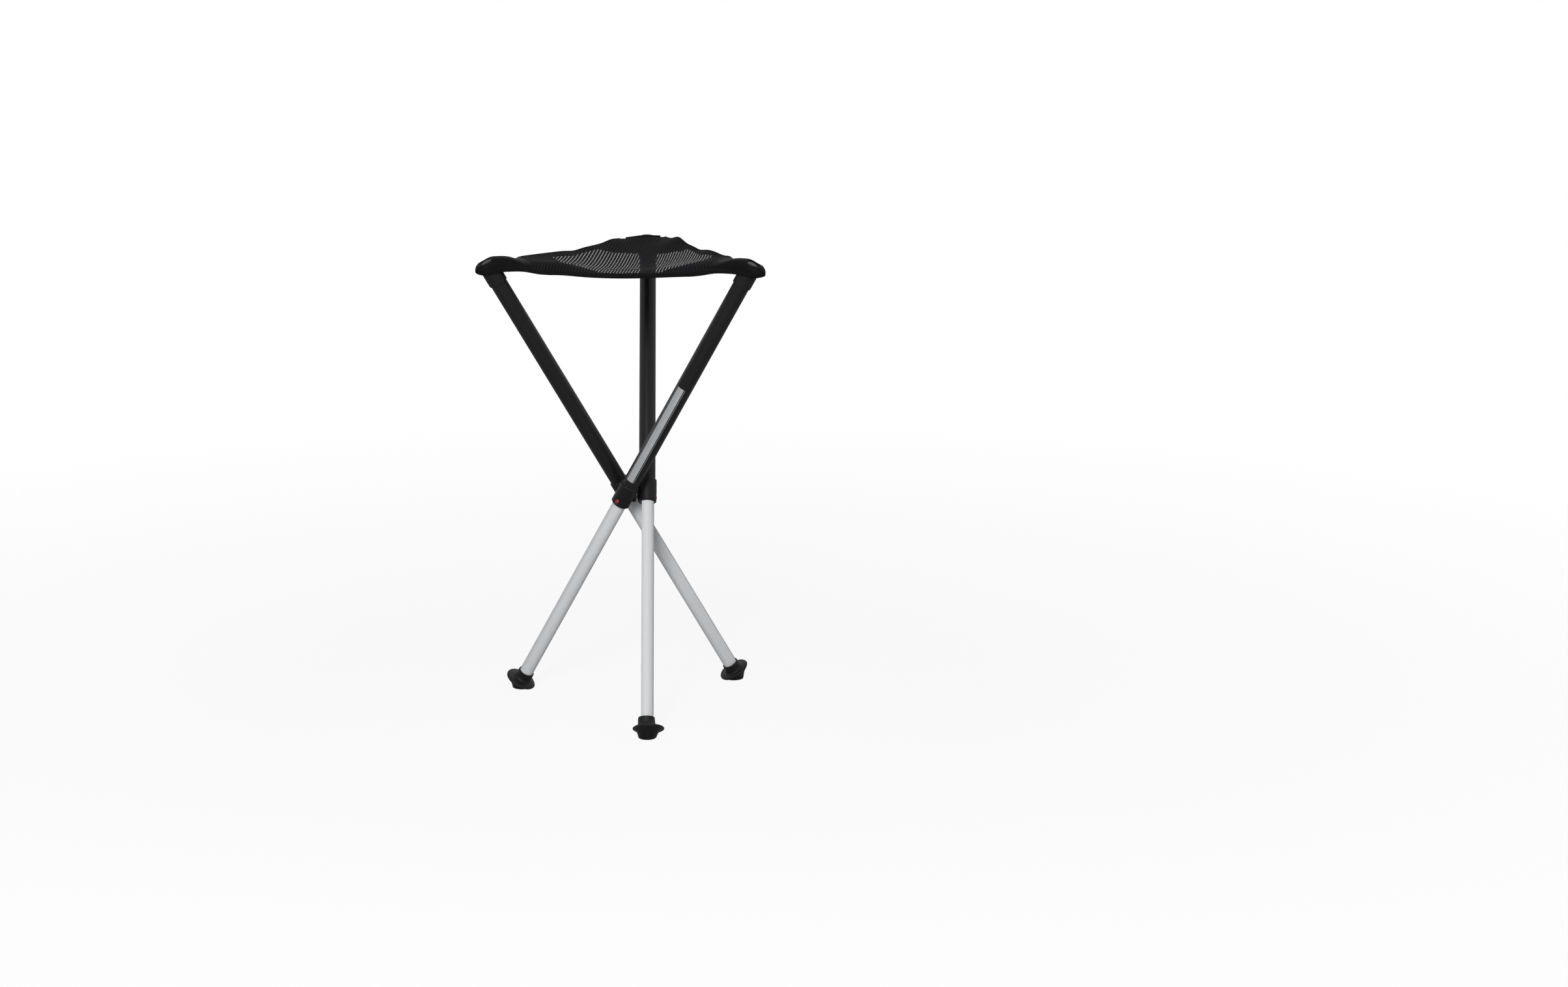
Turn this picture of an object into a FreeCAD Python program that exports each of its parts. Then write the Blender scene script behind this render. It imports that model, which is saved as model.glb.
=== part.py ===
import FreeCAD, Part
import math
import os
import re
import Sketcher
from FreeCAD import Placement, Rotation, Vector

# Collapsible telescopic stool: three crossed legs turn on a small central hub, and a triangular
# mesh seat ties their tops together. Each leg is a black upper tube with a bright tube that
# slides up into it. Lengths are in millimetres and +Z is up.
#
# The origin is on the floor, straight under the hub. Leg B's hinge is on the hub's +X side and
# its top leans to +Y; legs A and C are the same, turned back and forward by 120 degrees. Pieces
# of a leg are drawn in the leg's own axes: Z runs up the tube from the hinge, X points away from
# the hub, and Y is the side that the leg leans towards.

SIZES = [
    ("foot_depth", 12.94, "floor to the bottom of the lower tube, on its axis"),
    ("leg_tilt", 31.58, "lean of each leg from upright, in degrees"),
    ("upper_diameter", 27.0, "black upper tube, outside"),
    ("upper_wall", 1.2, "its wall"),
    ("upper_length", 446.2, "its length"),
    ("tube_gap", 0.95, "upper tube's bore to the bright lower tube"),
    ("lower_wall", 1.2, "its wall"),
    ("lower_cut", 2.75, "depth of the flat along the lower tube's inner side"),
    ("lower_length", 458.0, "its length"),
    ("lower_overlap", 60.0, "lower tube above the hinge, leg extended"),
    ("collar_wall", 2.0, "hinge collar, outside the upper tube"),
    ("collar_below", 16.0, "hinge down to the collar's mouth"),
    ("collar_above", 23.0, "hinge up to the collar's rim"),
    ("collar_bevel", 1.5, "bevel at both ends of the collar"),
    ("socket_depth", 18.0, "upper tube inside the collar"),
    ("slide_gap", 0.25, "collar to the sliding tube"),
    ("fit_gap", 0.05, "pressed and turning fits"),
    ("boss_radius", 9.0, "hinge boss on the collar"),
    ("boss_height", 1.1, "boss above the collar's side"),
    ("pin_diameter", 5.0, "hinge pin"),
    ("pin_head_diameter", 10.0, "its head"),
    ("pin_head_height", 1.8, "head thickness"),
    ("pin_head_room", 0.6, "lower tube's flat to the head"),
    ("pin_head_edge", 0.3, "bevel on the head"),
    ("drive_diameter", 3.2, "driver's recess in the head"),
    ("drive_depth", 1.0, "its depth"),
    ("washer_diameter", 15.0, "thrust washer at each hinge"),
    ("washer_thickness", 0.9, "its thickness"),
    ("hub_face", 7.0, "stool axis to each hinge face of the hub"),
    ("hub_corner", 11.0, "stool axis to the hub's blunt corners"),
    ("hub_block_height", 26.0, "hub block, top to bottom"),
    ("hub_core", 2.2, "solid core between the three pins"),
    ("hub_bevel", 1.0, "bevel round the hub's top and bottom"),
    ("button_height", -8.0, "release button, along the tube from the hinge"),
    ("button_diameter", 6.6, "red button"),
    ("button_rim", 1.1, "width of its hidden flange all round, as wide as the latch's nose"),
    ("button_sunk", 2.75, "collar's outside down to the flange's inner face"),
    ("button_flange_height", 0.5, "flange thickness"),
    ("button_proud", 0.2, "button above the collar's outside"),
    ("button_bevel", 0.5, "bevel on the button"),
    ("button_chamfer", 1.2, "funnel round the button's hole"),
    ("latch_gap", 0.2, "latch nose to the button and to its hole"),
    ("dish_radius", 14.0, "hollow round the button"),
    ("dish_depth", 1.5, "its depth"),
    ("dish_height", -9.5, "its middle, along the tube from the hinge"),
    ("spring_thickness", 0.8, "latch spring strip"),
    ("spring_width", 8.0, "its width"),
    ("spring_length", 34.0, "nose to the start of its bend"),
    ("guide_gap", 0.1, "guide bush to the upper tube"),
    ("guide_brim", 2.5, "bush above the lower tube's end"),
    ("guide_mouth", 8.2, "radius of the opening in the bush's top"),
    ("cap_wall", 1.85, "top cap, outside the upper tube"),
    ("cap_skirt", 30.4, "cap down the outside of the tube"),
    ("cap_roof", 5.0, "cap above the tube's end"),
    ("cap_lip", 1.0, "bevel at the cap's lower rim"),
    ("cap_brow", 1.2, "bevel at the cap's top"),
    ("rivet_diameter", 17.5, "rivet head on the seat corner"),
    ("rivet_head", 2.0, "height of the rivet's head"),
    ("rivet_lip", 0.7, "upright part of the head"),
    ("rivet_shank", 5.0, "its shank"),
    ("fabric_under_rivet", 2.8, "layers between cap and rivet"),
    ("boot_socket", 18.5, "tube inside the rubber foot"),
    ("boot_wall", 2.05, "foot's collar at its rim, outside the tube"),
    ("boot_taper", 1.4, "how much it widens towards the brim"),
    ("boot_bevel", 1.2, "bevel on the foot's rim"),
    ("brim_radius", 25.8, "round brim of the foot"),
    ("brim_thickness", 4.6, "its thickness"),
    ("brim_bevel", 1.5, "bevel on its edge"),
    ("brim_rise", 3.0, "how far the brim swells towards the collar"),
    ("brim_drop", 12.5, "rim of the foot down to the middle of the brim"),
    ("brim_outward", 2.6, "brim's middle, away from the hub"),
    ("brim_sideways", 2.65, "brim's middle, towards the foot's lean"),
    ("brim_flat", 21.1, "tube axis to the two inner flats of the brim"),
    ("sole_outward", 1.3, "sole pad's middle, away from the hub"),
    ("sole_width", 27.0, "sole pad, across"),
    ("sole_length", 30.0, "sole pad, along the foot's lean"),
    ("sole_flare", 3.0, "how much wider each side is under the brim"),
    ("sole_height", 34.0, "pad's flare, measured up to the brim's high side"),
    ("sole_corner", 7.0, "soft corners of the pad"),
    ("sole_groove", 1.8, "width of the grooves in the pad's toe"),
    ("pocket_crown", 6.97, "rivet's seat up to the top of the corner pocket"),
    ("pocket_nose", 17.37, "rivet's seat out to the tip of the corner pocket"),
    ("pocket_depth", 26.2, "height of a pocket, at its deepest"),
    ("pocket_wall", 1.25, "cloth of a corner pocket beside the cap"),
    ("pocket_length", 36.0, "tip to the inner end of a pocket"),
    ("patch_depth", 10.0, "height of the patch, halfway"),
    ("patch_edge", 5.5, "its height where the mesh begins"),
    ("patch_length", 45.0, "solid cloth between pocket and mesh"),
    ("seat_dip", 24.0, "top of the pockets down to the middle of the mesh"),
    ("seat_curve", 1000.0, "radius of the hanging mesh"),
    ("edge_bow", 21.5, "how far each edge curves in"),
    ("mesh_thickness", 1.0, "net"),
    ("binding_height", 9.0, "edge tape"),
    ("binding_thickness", 2.2, "edge tape"),
    ("cloth_gap", 0.3, "soft pieces to their neighbours"),
    ("net_pitch", 20.0, "spacing of the gaps in the net"),
    ("net_gap", 10.0, "side of one gap"),
    ("net_turn", 32.0, "slant of the rows of gaps, in degrees"),
]
# Places that several pieces share. Heights are measured along the tube from the hinge, and those
# of the hub and the seat from the floor.
FORMULAS = [
    ("upper_radius", "upper_diameter / 2", "upper tube, outside radius"),
    ("upper_bore", "upper_radius - upper_wall", "upper tube, inside radius"),
    ("upper_start", "collar_above - socket_depth", "height of the upper tube's lower end"),
    ("upper_end", "upper_start + upper_length", "height of its upper end"),
    ("lower_radius", "upper_bore - tube_gap", "lower tube, outside radius"),
    ("lower_flat", "lower_radius - lower_cut", "lower tube axis to its flat, outside"),
    ("lower_bore", "lower_radius - lower_wall", "lower tube, inside radius"),
    ("lower_bore_flat", "lower_flat - lower_wall", "lower tube axis to the flat, inside"),
    ("lower_end", "lower_overlap - lower_length", "height of the lower tube's lower end"),
    ("mouth_radius", "lower_radius + slide_gap", "collar's mouth round the lower tube"),
    ("mouth_flat", "lower_flat + slide_gap", "leg axis to the mouth's flat"),
    ("seat_radius", "lower_radius + fit_gap", "pressed seat on the lower tube"),
    ("seat_flat", "lower_flat + fit_gap", "leg axis to the seat's flat"),
    ("bush_foot", "upper_start + 2 * slide_gap", "height of the guide bush's foot"),
    ("bush_top", "lower_overlap + guide_brim", "height of the guide bush's top"),
    ("collar_radius", "upper_radius + collar_wall", "hinge collar, outside radius"),
    ("boss_face", "collar_radius + boss_height", "leg axis to the hinge boss's face"),
    ("hinge_radius", "boss_face + washer_thickness + 2 * fit_gap + hub_face",
     "stool axis to each leg's axis, at the hinge"),
    ("pin_head_seat", "lower_flat + pin_head_room + pin_head_height",
     "leg axis to the underside of the pin's head"),
    ("button_flange", "button_diameter + 2 * button_rim", "button's flange and the latch's nose"),
    ("button_flange_seat", "collar_radius - button_sunk", "leg axis to the flange's inner face"),
    ("button_reach", "collar_radius + button_proud", "leg axis to the top of the button"),
    ("nose_hole", "button_flange / 2 + latch_gap", "radius of the latch nose's holes"),
    ("nose_reach", "button_flange_seat - latch_gap", "leg axis to the latch nose's face"),
    ("cap_radius", "upper_radius + cap_wall", "top cap, outside radius"),
    ("pocket_half_width", "cap_radius + pocket_wall", "half the width of a corner pocket"),
    ("cap_foot", "upper_end - cap_skirt", "height of the cap's lower rim"),
    ("cap_top", "upper_end + cap_roof", "height of the cap's top"),
    ("rivet_seat", "cap_top + fabric_under_rivet", "height of the rivet head's underside"),
    ("boot_rim", "lower_end + boot_socket", "height of the rubber foot's rim"),
    ("boot_rim_radius", "lower_radius + boot_wall", "radius of the foot's collar at its rim"),
    ("boot_neck_radius", "boot_rim_radius + boot_taper", "its radius where the brim starts"),
    ("boot_neck", "boot_rim - 0.55 * brim_drop", "height where the foot's collar starts to taper"),
    ("boot_brim", "boot_rim - brim_drop", "height of the brim's middle"),
    ("hub_height", "foot_depth - lower_end * cos(leg_tilt)", "floor to the hinge pins"),
    ("seat_height", "hub_height + rivet_seat * cos(leg_tilt) + pocket_crown",
     "floor to the top of the corner pockets"),
    ("seat_corner", "sqrt(hinge_radius ^ 2 + (rivet_seat * sin(leg_tilt)) ^ 2)",
     "stool axis to the rivets' seats"),
    ("seat_nose", "seat_corner + pocket_nose", "stool axis to the tip of a corner pocket"),
    ("seat_centre", "seat_height - seat_dip", "floor to the mesh, in the middle"),
    ("edge_middle", "seat_nose / 2 - edge_bow", "stool axis to the middle of each edge"),
    ("pocket_end", "seat_nose - pocket_length", "stool axis to a pocket's inner end"),
    ("patch_start", "pocket_end - cloth_gap", "stool axis to a patch's outer end"),
    ("patch_end", "patch_start - patch_length", "stool axis to a patch's inner end"),
    ("beyond", "upper_length + lower_length", "longer than any piece, for cuts right through"),
]
# Each leg's letter and its turn from leg B, in degrees.
LEGS = [(letter, (place - 1) * 360 / 3) for place, letter in enumerate("abc")]

doc = FreeCAD.newDocument("stool")
sheet = doc.addObject("Spreadsheet::Sheet", "sizes")
cells = SIZES + [(alias, "=" + formula, note) for alias, formula, note in FORMULAS]
for row, (alias, value, note) in enumerate(cells, start=1):
    sheet.set(f"A{row}", note)
    sheet.set(f"B{row}", str(value))
    sheet.setAlias(f"B{row}", alias)
doc.recompute()

nodes = []


def size(alias):
    """The value of one cell of the sheet."""
    return float(sheet.get(alias))


tilt = math.radians(size("leg_tilt"))


def leg_placement(azimuth):
    """Where a leg's own axes stand in the stool: turned about Z, moved out, then leaned."""
    turn = Placement(Vector(0, 0, size("hub_height")), Rotation(Vector(0, 0, 1), azimuth))
    lean = Placement(Vector(size("hinge_radius"), 0, 0), Rotation(Vector(1, 0, 0), -size("leg_tilt")))
    return turn.multiply(lean)


def turned_placement(azimuth):
    """Where a piece drawn in leg B's upright axes stands for another leg."""
    return Placement(Vector(0, 0, 0), Rotation(Vector(0, 0, 1), azimuth))


def link(formula):
    """The formula as an expression: every alias in it becomes a reference to the sheet."""
    return re.sub(r"[a-z_]+", lambda word: f"sizes.{word.group()}", formula)


def stand(item, start, outward, level):
    """Stand a round solid on the tube's axis, or on a line that leaves the axis at a level."""
    if outward:
        item.Placement = Placement(Vector(0, 0, 0), Rotation(Vector(0, 1, 0), 90))
        item.setExpression("Placement.Base.x", link(start))
        item.setExpression("Placement.Base.z", link(level))
    else:
        item.setExpression("Placement.Base.z", link(start))
    return item


def cylinder(name, radius, start, length, outward=False, level="0"):
    """Cylinder whose sizes and place are formulas of the sheet's cells."""
    item = doc.addObject("Part::Cylinder", name)
    item.setExpression("Radius", link(radius))
    item.setExpression("Height", link(length))
    return stand(item, start, outward, level)


def cone(name, radius, end_radius, start, length, outward=False, level="0"):
    """Blunt cone, from one radius to another, with formulas as for a cylinder."""
    item = doc.addObject("Part::Cone", name)
    item.setExpression("Radius1", link(radius))
    item.setExpression("Radius2", link(end_radius))
    item.setExpression("Height", link(length))
    return stand(item, start, outward, level)


def joined(name, *items):
    """Union of objects."""
    item = doc.addObject("Part::MultiFuse", name)
    item.Shapes = list(items)
    item.Refine = True
    return item


def without(name, base, *tools):
    """Base with every tool cut away."""
    item = doc.addObject("Part::Cut", name)
    item.Base = base
    item.Tool = tools[0] if len(tools) == 1 else joined(name + "_tools", *tools)
    return item


def solid_feature(name, shape):
    """Object that holds a shape made with Part's functions."""
    item = doc.addObject("Part::Feature", name)
    item.Shape = shape
    return item


def add_node(label, shape, placement=None):
    """One sub-part: its label is its file's name."""
    item = doc.addObject("Part::Feature", label)
    item.Label = label
    item.Shape = shape
    if placement is not None:
        item.Placement = placement.multiply(item.Placement)
    nodes.append(item)
    return item


def one_per_leg(node, source, placement_for=leg_placement):
    """Three equal sub-parts from one drawn piece."""
    doc.recompute()
    shape = source if isinstance(source, Part.Shape) else source.Shape
    for letter, azimuth in LEGS:
        add_node(f"{node}_{letter}", shape.copy(), placement_for(azimuth))


def d_sketch(body, name, profiles):
    """Sketch of D outlines on the body's XY plane: each is an arc about the tube's axis, closed
    by a flat on the hub's side. profiles holds the aliases of each radius and flat."""
    sketch = body.newObject("Sketcher::SketchObject", name)
    plane = [item for item in body.Origin.OriginFeatures if item.Role == "XY_Plane"][0]
    sketch.AttachmentSupport = [(plane, "")]
    sketch.MapMode = "FlatFace"
    for radius_alias, flat_alias in profiles:
        radius, flat = size(radius_alias), size(flat_alias)
        sweep = math.pi - math.acos(flat / radius)
        circle = Part.Circle(Vector(0, 0, 0), Vector(0, 0, 1), radius)
        arc = sketch.addGeometry(Part.ArcOfCircle(circle, -sweep, sweep))
        upper = Vector(-flat, radius * math.sin(sweep), 0)
        lower = Vector(-flat, -radius * math.sin(sweep), 0)
        line = sketch.addGeometry(Part.LineSegment(upper, lower))
        sketch.addConstraint(Sketcher.Constraint("Coincident", arc, 3, -1, 1))
        sketch.addConstraint(Sketcher.Constraint("Coincident", arc, 2, line, 1))
        sketch.addConstraint(Sketcher.Constraint("Coincident", line, 2, arc, 1))
        sketch.addConstraint(Sketcher.Constraint("Vertical", line))
        reach = sketch.addConstraint(Sketcher.Constraint("Radius", arc, radius))
        sketch.setExpression(f"Constraints[{reach}]", link(radius_alias))
        cut = sketch.addConstraint(Sketcher.Constraint("DistanceX", line, 1, -1, 1, flat))
        sketch.setExpression(f"Constraints[{cut}]", link(flat_alias))
    return sketch


def d_body(name, profiles, start, length):
    """PartDesign body: D outlines padded up the tube."""
    body = doc.addObject("PartDesign::Body", name)
    sketch = d_sketch(body, name + "_outline", profiles)
    pad = body.newObject("PartDesign::Pad", name + "_pad")
    pad.Profile = sketch
    pad.setExpression("Length", link(length))
    sketch.Visibility = False
    body.setExpression("Placement.Base.z", link(start))
    return body


def make_upper_tube():
    """Black outer tube, from its seat in the collar to the cap."""
    outside = cylinder("upper_outside", "upper_radius", "upper_start", "upper_length")
    bore = cylinder("upper_inside", "upper_bore", "upper_start", "upper_length")
    return without("upper_tube_drawn", outside, bore)


def make_lower_tube():
    """Bright tube with one flat side and the hole for the latch's nose."""
    profiles = [("lower_radius", "lower_flat"), ("lower_bore", "lower_bore_flat")]
    body = d_body("lower_tube_plain", profiles, "lower_end", "lower_length")
    hole = cylinder("tube_nose_hole", "nose_hole", "2 * lower_wall", "lower_radius", True,
                    "button_height")
    return without("lower_tube_drawn", body, hole)


def make_guide_bush():
    """Plastic sleeve on the lower tube's end. It fills the gap in the upper tube, and its foot
    meets the collar when the leg is pulled right out."""
    sleeve = cylinder("bush_sleeve", "upper_bore - guide_gap", "bush_foot", "bush_top - bush_foot")
    seat = d_body("bush_seat", [("seat_radius", "seat_flat")], "upper_start",
                  "lower_overlap - upper_start")
    mouth = cylinder("bush_mouth", "guide_mouth", "bush_foot", "bush_top")
    return without("guide_bush_drawn", sleeve, seat, mouth)


def make_collar():
    """Moulded hinge collar: socket for the upper tube, D-shaped mouth that keys the lower tube,
    boss towards the hub, and the dished hole of the release button."""
    inner_rim = "collar_radius - collar_bevel"
    barrel = joined(
        "collar_barrel",
        cone("collar_foot", inner_rim, "collar_radius", "-collar_below", "collar_bevel"),
        cylinder("collar_wall", "collar_radius", "collar_bevel - collar_below",
                 "collar_below + collar_above - 2 * collar_bevel"),
        cone("collar_brow", "collar_radius", inner_rim, "collar_above - collar_bevel", "collar_bevel"),
        cylinder("hinge_boss", "boss_radius", "-boss_face", "boss_face - lower_flat", True),
    )
    dish = doc.addObject("Part::Sphere", "button_dish")
    dish.setExpression("Radius", link("dish_radius"))
    dish.setExpression("Placement.Base.x", link("collar_radius + dish_radius - dish_depth"))
    dish.setExpression("Placement.Base.z", link("dish_height"))
    socket = cylinder("tube_socket", "upper_radius + fit_gap", "upper_start", "collar_above")
    mouth = d_body("collar_mouth", [("mouth_radius", "mouth_flat")], "-2 * collar_below",
                   "2 * collar_below + collar_above")
    pin_hole = cylinder("pin_hole", "pin_diameter / 2 + fit_gap", "-lower_flat - boss_face",
                        "boss_face", True)
    head_pocket = cylinder("head_pocket", "pin_head_diameter / 2 + 2 * guide_gap",
                           "-pin_head_seat - guide_gap", "pin_head_seat + guide_gap - lower_flat", True)
    flange_bore = cylinder("flange_bore", "nose_hole", "lower_flat",
                           "button_flange_seat + button_flange_height + fit_gap - lower_flat",
                           True, "button_height")
    stem_bore = cylinder("stem_bore", "button_diameter / 2 + 2 * fit_gap", "lower_radius",
                         "collar_radius", True, "button_height")
    funnel = cone("button_funnel", "button_diameter / 2", "button_diameter / 2 + 4 * button_chamfer",
                  "collar_radius - dish_depth + fit_gap * 2 - button_chamfer / 2",
                  "2 * button_chamfer", True, "button_height")
    return without("collar_drawn", barrel, dish, socket, mouth, pin_hole, head_pocket, flange_bore,
                   stem_bore, funnel)


def make_button():
    """Red release button with a hidden flange that keeps it in the collar."""
    place = (True, "button_height")
    return joined(
        "button_drawn",
        cylinder("button_base", "button_flange / 2", "button_flange_seat", "button_flange_height", *place),
        cylinder("button_stem", "button_diameter / 2", "button_flange_seat",
                 "button_reach - button_bevel - button_flange_seat", *place),
        cone("button_face", "button_diameter / 2", "button_diameter / 2 - button_bevel",
             "button_reach - button_bevel", "button_bevel", *place),
    )


def make_latch_spring():
    """Hairpin leaf spring inside the lower tube. Its round nose stands out through the tube's
    hole into the collar and holds the leg extended until the button pushes it in."""
    thick = size("spring_thickness")
    half = size("spring_width") / 2
    outer = math.sqrt(size("lower_bore") ** 2 - half ** 2) - size("fit_gap")
    inner = size("fit_gap") - size("lower_bore_flat")
    high = size("button_height") + size("button_flange") / 2
    low = size("button_height") - size("spring_length")
    middle, bend = (outer + inner) / 2, (outer - inner) / 2

    def point(x, z):
        return Vector(x, -half, z)

    outline = Part.Wire([
        Part.makeLine(point(outer, high), point(outer, low)),
        Part.Arc(point(outer, low), point(middle, low - bend), point(inner, low)).toShape(),
        Part.makeLine(point(inner, low), point(inner, high)),
        Part.makeLine(point(inner, high), point(inner + thick, high)),
        Part.makeLine(point(inner + thick, high), point(inner + thick, low)),
        Part.Arc(point(inner + thick, low), point(middle, low - bend + thick),
                 point(outer - thick, low)).toShape(),
        Part.makeLine(point(outer - thick, low), point(outer - thick, high)),
        Part.makeLine(point(outer - thick, high), point(outer, high)),
    ])
    strip = Part.Face(outline).extrude(Vector(0, 2 * half, 0))
    nose = Part.makeCylinder(size("button_flange") / 2, size("nose_reach") - outer + thick,
                             Vector(outer - thick, 0, size("button_height")), Vector(1, 0, 0))
    return solid_feature("latch_spring_drawn", strip.fuse(nose).removeSplitter())


def make_top_cap():
    """Plastic cap over the upper tube's end, with a small step at its lower rim."""
    outside = joined(
        "cap_outside",
        cone("cap_rim", "cap_radius - cap_lip", "cap_radius", "cap_foot", "cap_lip"),
        cylinder("cap_wall", "cap_radius", "cap_foot + cap_lip",
                 "cap_skirt + cap_roof - cap_lip - cap_brow"),
        cone("cap_face", "cap_radius", "cap_radius - cap_brow", "cap_top - cap_brow", "cap_brow"),
    )
    socket = cylinder("cap_socket", "upper_radius + fit_gap", "cap_foot", "cap_skirt + fit_gap")
    hole = cylinder("cap_rivet_hole", "rivet_shank / 2 + fit_gap", "upper_end", "2 * cap_roof")
    return without("top_cap_drawn", outside, socket, hole)


def make_seat_rivet():
    """Rivet with a low bevelled head that holds the cloth down on the cap."""
    return joined(
        "seat_rivet_drawn",
        cylinder("rivet_pin", "rivet_shank / 2", "upper_end - cap_brow",
                 "rivet_seat - upper_end + cap_brow"),
        cylinder("rivet_disc", "rivet_diameter / 2", "rivet_seat", "rivet_lip"),
        cone("rivet_crown", "rivet_diameter / 2", "rivet_diameter / 4", "rivet_seat + rivet_lip",
             "rivet_head - rivet_lip"),
    )


def upright_box(name, corner, width, depth, height):
    """Box that stands upright in leg B's place, for cuts in a piece that leans."""
    box = doc.addObject("Part::Box", name)
    box.Length, box.Width, box.Height = width, depth, height
    box.Placement = leg_placement(0.0).inverse().multiply(Placement(corner, Rotation()))
    return box


def make_brim():
    """Round brim of the rubber foot, drawn about its own middle and set off the tube's axis."""
    half = "brim_thickness / 2"
    edge = "brim_radius - brim_bevel"
    brim = joined(
        "boot_brim_drawn",
        cone("brim_under", edge, "brim_radius", f"-{half}", "brim_bevel"),
        cylinder("brim_edge", "brim_radius", f"brim_bevel - {half}", "brim_thickness - 2 * brim_bevel"),
        cone("brim_over", "brim_radius", edge, f"{half} - brim_bevel", "brim_bevel"),
        cone("brim_swell", "brim_radius - 3 * brim_bevel", "boot_neck_radius - 1", half, "brim_rise"),
    )
    brim.setExpression("Placement.Base.x", link("brim_outward"))
    brim.setExpression("Placement.Base.y", link("-brim_sideways"))
    brim.setExpression("Placement.Base.z", link("boot_brim"))
    return brim


def make_boot():
    """Rubber foot: a collar on the tube, a wide brim, and a grooved pad with a level sole."""
    collar = joined(
        "boot_collar",
        cylinder("boot_root", "boot_neck_radius", "boot_brim", "boot_neck - boot_brim"),
        cone("boot_sleeve", "boot_neck_radius", "boot_rim_radius", "boot_neck",
             "boot_rim - boot_neck - boot_bevel"),
        cone("boot_lip", "boot_rim_radius", "boot_rim_radius - boot_bevel", "boot_rim - boot_bevel",
             "boot_bevel"),
    )
    lean = leg_placement(0.0)
    brim_centre = Vector(size("brim_outward"), -size("brim_sideways"), size("boot_brim"))
    sole_x = size("hinge_radius") + size("sole_outward")
    sole_y = lean.multVec(brim_centre).y
    width, length, flare = size("sole_width"), size("sole_length"), size("sole_flare")
    corner, height = size("sole_corner"), size("sole_height")
    reach = size("beyond")
    sole = loft_through([
        rounded_rectangle(Vector(sole_x, sole_y, 0), width, length, corner),
        rounded_rectangle(Vector(sole_x, sole_y, height), width + 2 * flare, length + 2 * flare,
                          corner + flare),
    ])
    sole.transformShape(lean.inverse().toMatrix())
    above = Part.makeBox(reach, reach, reach, Vector(-reach / 2, -reach / 2, size("boot_brim")))
    pad = solid_feature("boot_pad", sole.cut(above))
    groove = size("sole_groove")
    front = sole_y - length / 2 - flare
    floor_corner = Vector(-reach, -reach, -reach)
    cuts = [upright_box("boot_floor", floor_corner, 2 * reach, 2 * reach, reach)]
    for name, offset in (("left", -2.5 * groove), ("right", 2.5 * groove)):
        corner_place = Vector(sole_x + offset - groove / 2, front, groove)
        cuts.append(upright_box(f"groove_{name}", corner_place, groove, flare + groove, 0.5 * height))
    for name, side in (("near", 150.0), ("far", 210.0)):
        slab = doc.addObject("Part::Box", f"brim_slab_{name}")
        slab.Length, slab.Width, slab.Height = reach, 2 * reach, 2 * reach
        turn = Placement(Vector(0, 0, 0), Rotation(Vector(0, 0, 1), side))
        slab.Placement = turn.multiply(Placement(Vector(size("brim_flat"), -reach, -reach), Rotation()))
        cuts.append(slab)
    cuts.append(d_body("boot_socket_room", [("seat_radius", "seat_flat")], "lower_end",
                       "2 * boot_socket"))
    return without("boot_drawn", joined("boot_body", collar, make_brim(), pad), *cuts)


def softened_corners(half_width, half_height, corner):
    """Outline of a rectangle about (0, 0) whose corners are rounded in two short flats."""
    bow = corner * (1 - math.sqrt(0.5))
    points = []
    for place, (right, up) in enumerate([(1, 1), (-1, 1), (-1, -1), (1, -1)]):
        steps = [(0, corner), (bow, bow), (corner, 0)]
        for from_side, from_end in steps if place % 2 == 0 else steps[::-1]:
            points.append((right * (half_width - from_side), up * (half_height - from_end)))
    return points


def rounded_rectangle(centre, width, length, corner):
    """Level closed wire of a rectangle with softened corners."""
    points = [centre + Vector(x, y, 0) for x, y in softened_corners(width / 2, length / 2, corner)]
    return Part.makePolygon(points + points[:1])


def loft_through(wires):
    """Closed solid through wires with the same number of edges."""
    return Part.makeLoft(wires, True, True)


# The seat is drawn in leg B's upright axes: that leg's corner lies near +Y.
corner_azimuth = math.degrees(math.atan2(size("rivet_seat") * math.sin(tilt), size("hinge_radius")))


def corner_point(out, across, height):
    """Point by distance along the corner's direction, distance across it, and height."""
    along = math.radians(corner_azimuth)
    return Vector(out * math.cos(along) + across * math.sin(along),
                  out * math.sin(along) - across * math.cos(along), height)


def corner_section(out, half_width, low, high, corner):
    """Upright rounded rectangle across a seat corner."""
    corner = min(corner, 0.48 * (high - low), 0.95 * half_width)
    middle = (low + high) / 2
    points = [corner_point(out, across, middle + rise)
              for across, rise in softened_corners(half_width, (high - low) / 2, corner)]
    return Part.makePolygon(points + points[:1])


def edge_half_width(out):
    """Half the seat's width across a corner's direction, where the edges curve in."""
    radius, middle_m = edge_arc()
    width = size("pocket_half_width")
    for _ in range(30):
        along = out * math.sin(math.radians(60)) - width * 0.5
        across = middle_m - math.sqrt(radius ** 2 - along ** 2) + radius
        width = (across - out * 0.5) / math.sin(math.radians(60))
    return width


def edge_arc():
    """Radius of an edge's curve and its distance from the stool's axis."""
    out, width = size("pocket_end"), size("pocket_half_width") + size("binding_thickness") / 2
    side = out * 0.5 + width * math.sin(math.radians(60))
    along = out * math.sin(math.radians(60)) - width * 0.5
    rise = side - size("edge_middle")
    return (along ** 2 + rise ** 2) / (2 * rise), size("edge_middle")


def mesh_height(out):
    """Height of the hanging mesh at a distance from the stool's axis."""
    curve = size("seat_curve")
    return size("seat_centre") + curve - math.sqrt(curve ** 2 - out ** 2)


def cap_room():
    """Space that the cloth leaves round a top cap."""
    gap = size("cloth_gap")
    room = Part.makeCylinder(size("cap_radius") + gap, 2 * size("cap_skirt"),
                             Vector(0, 0, size("cap_top") + gap - 2 * size("cap_skirt")))
    room.transformShape(leg_placement(0.0).toMatrix())
    return room


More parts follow.
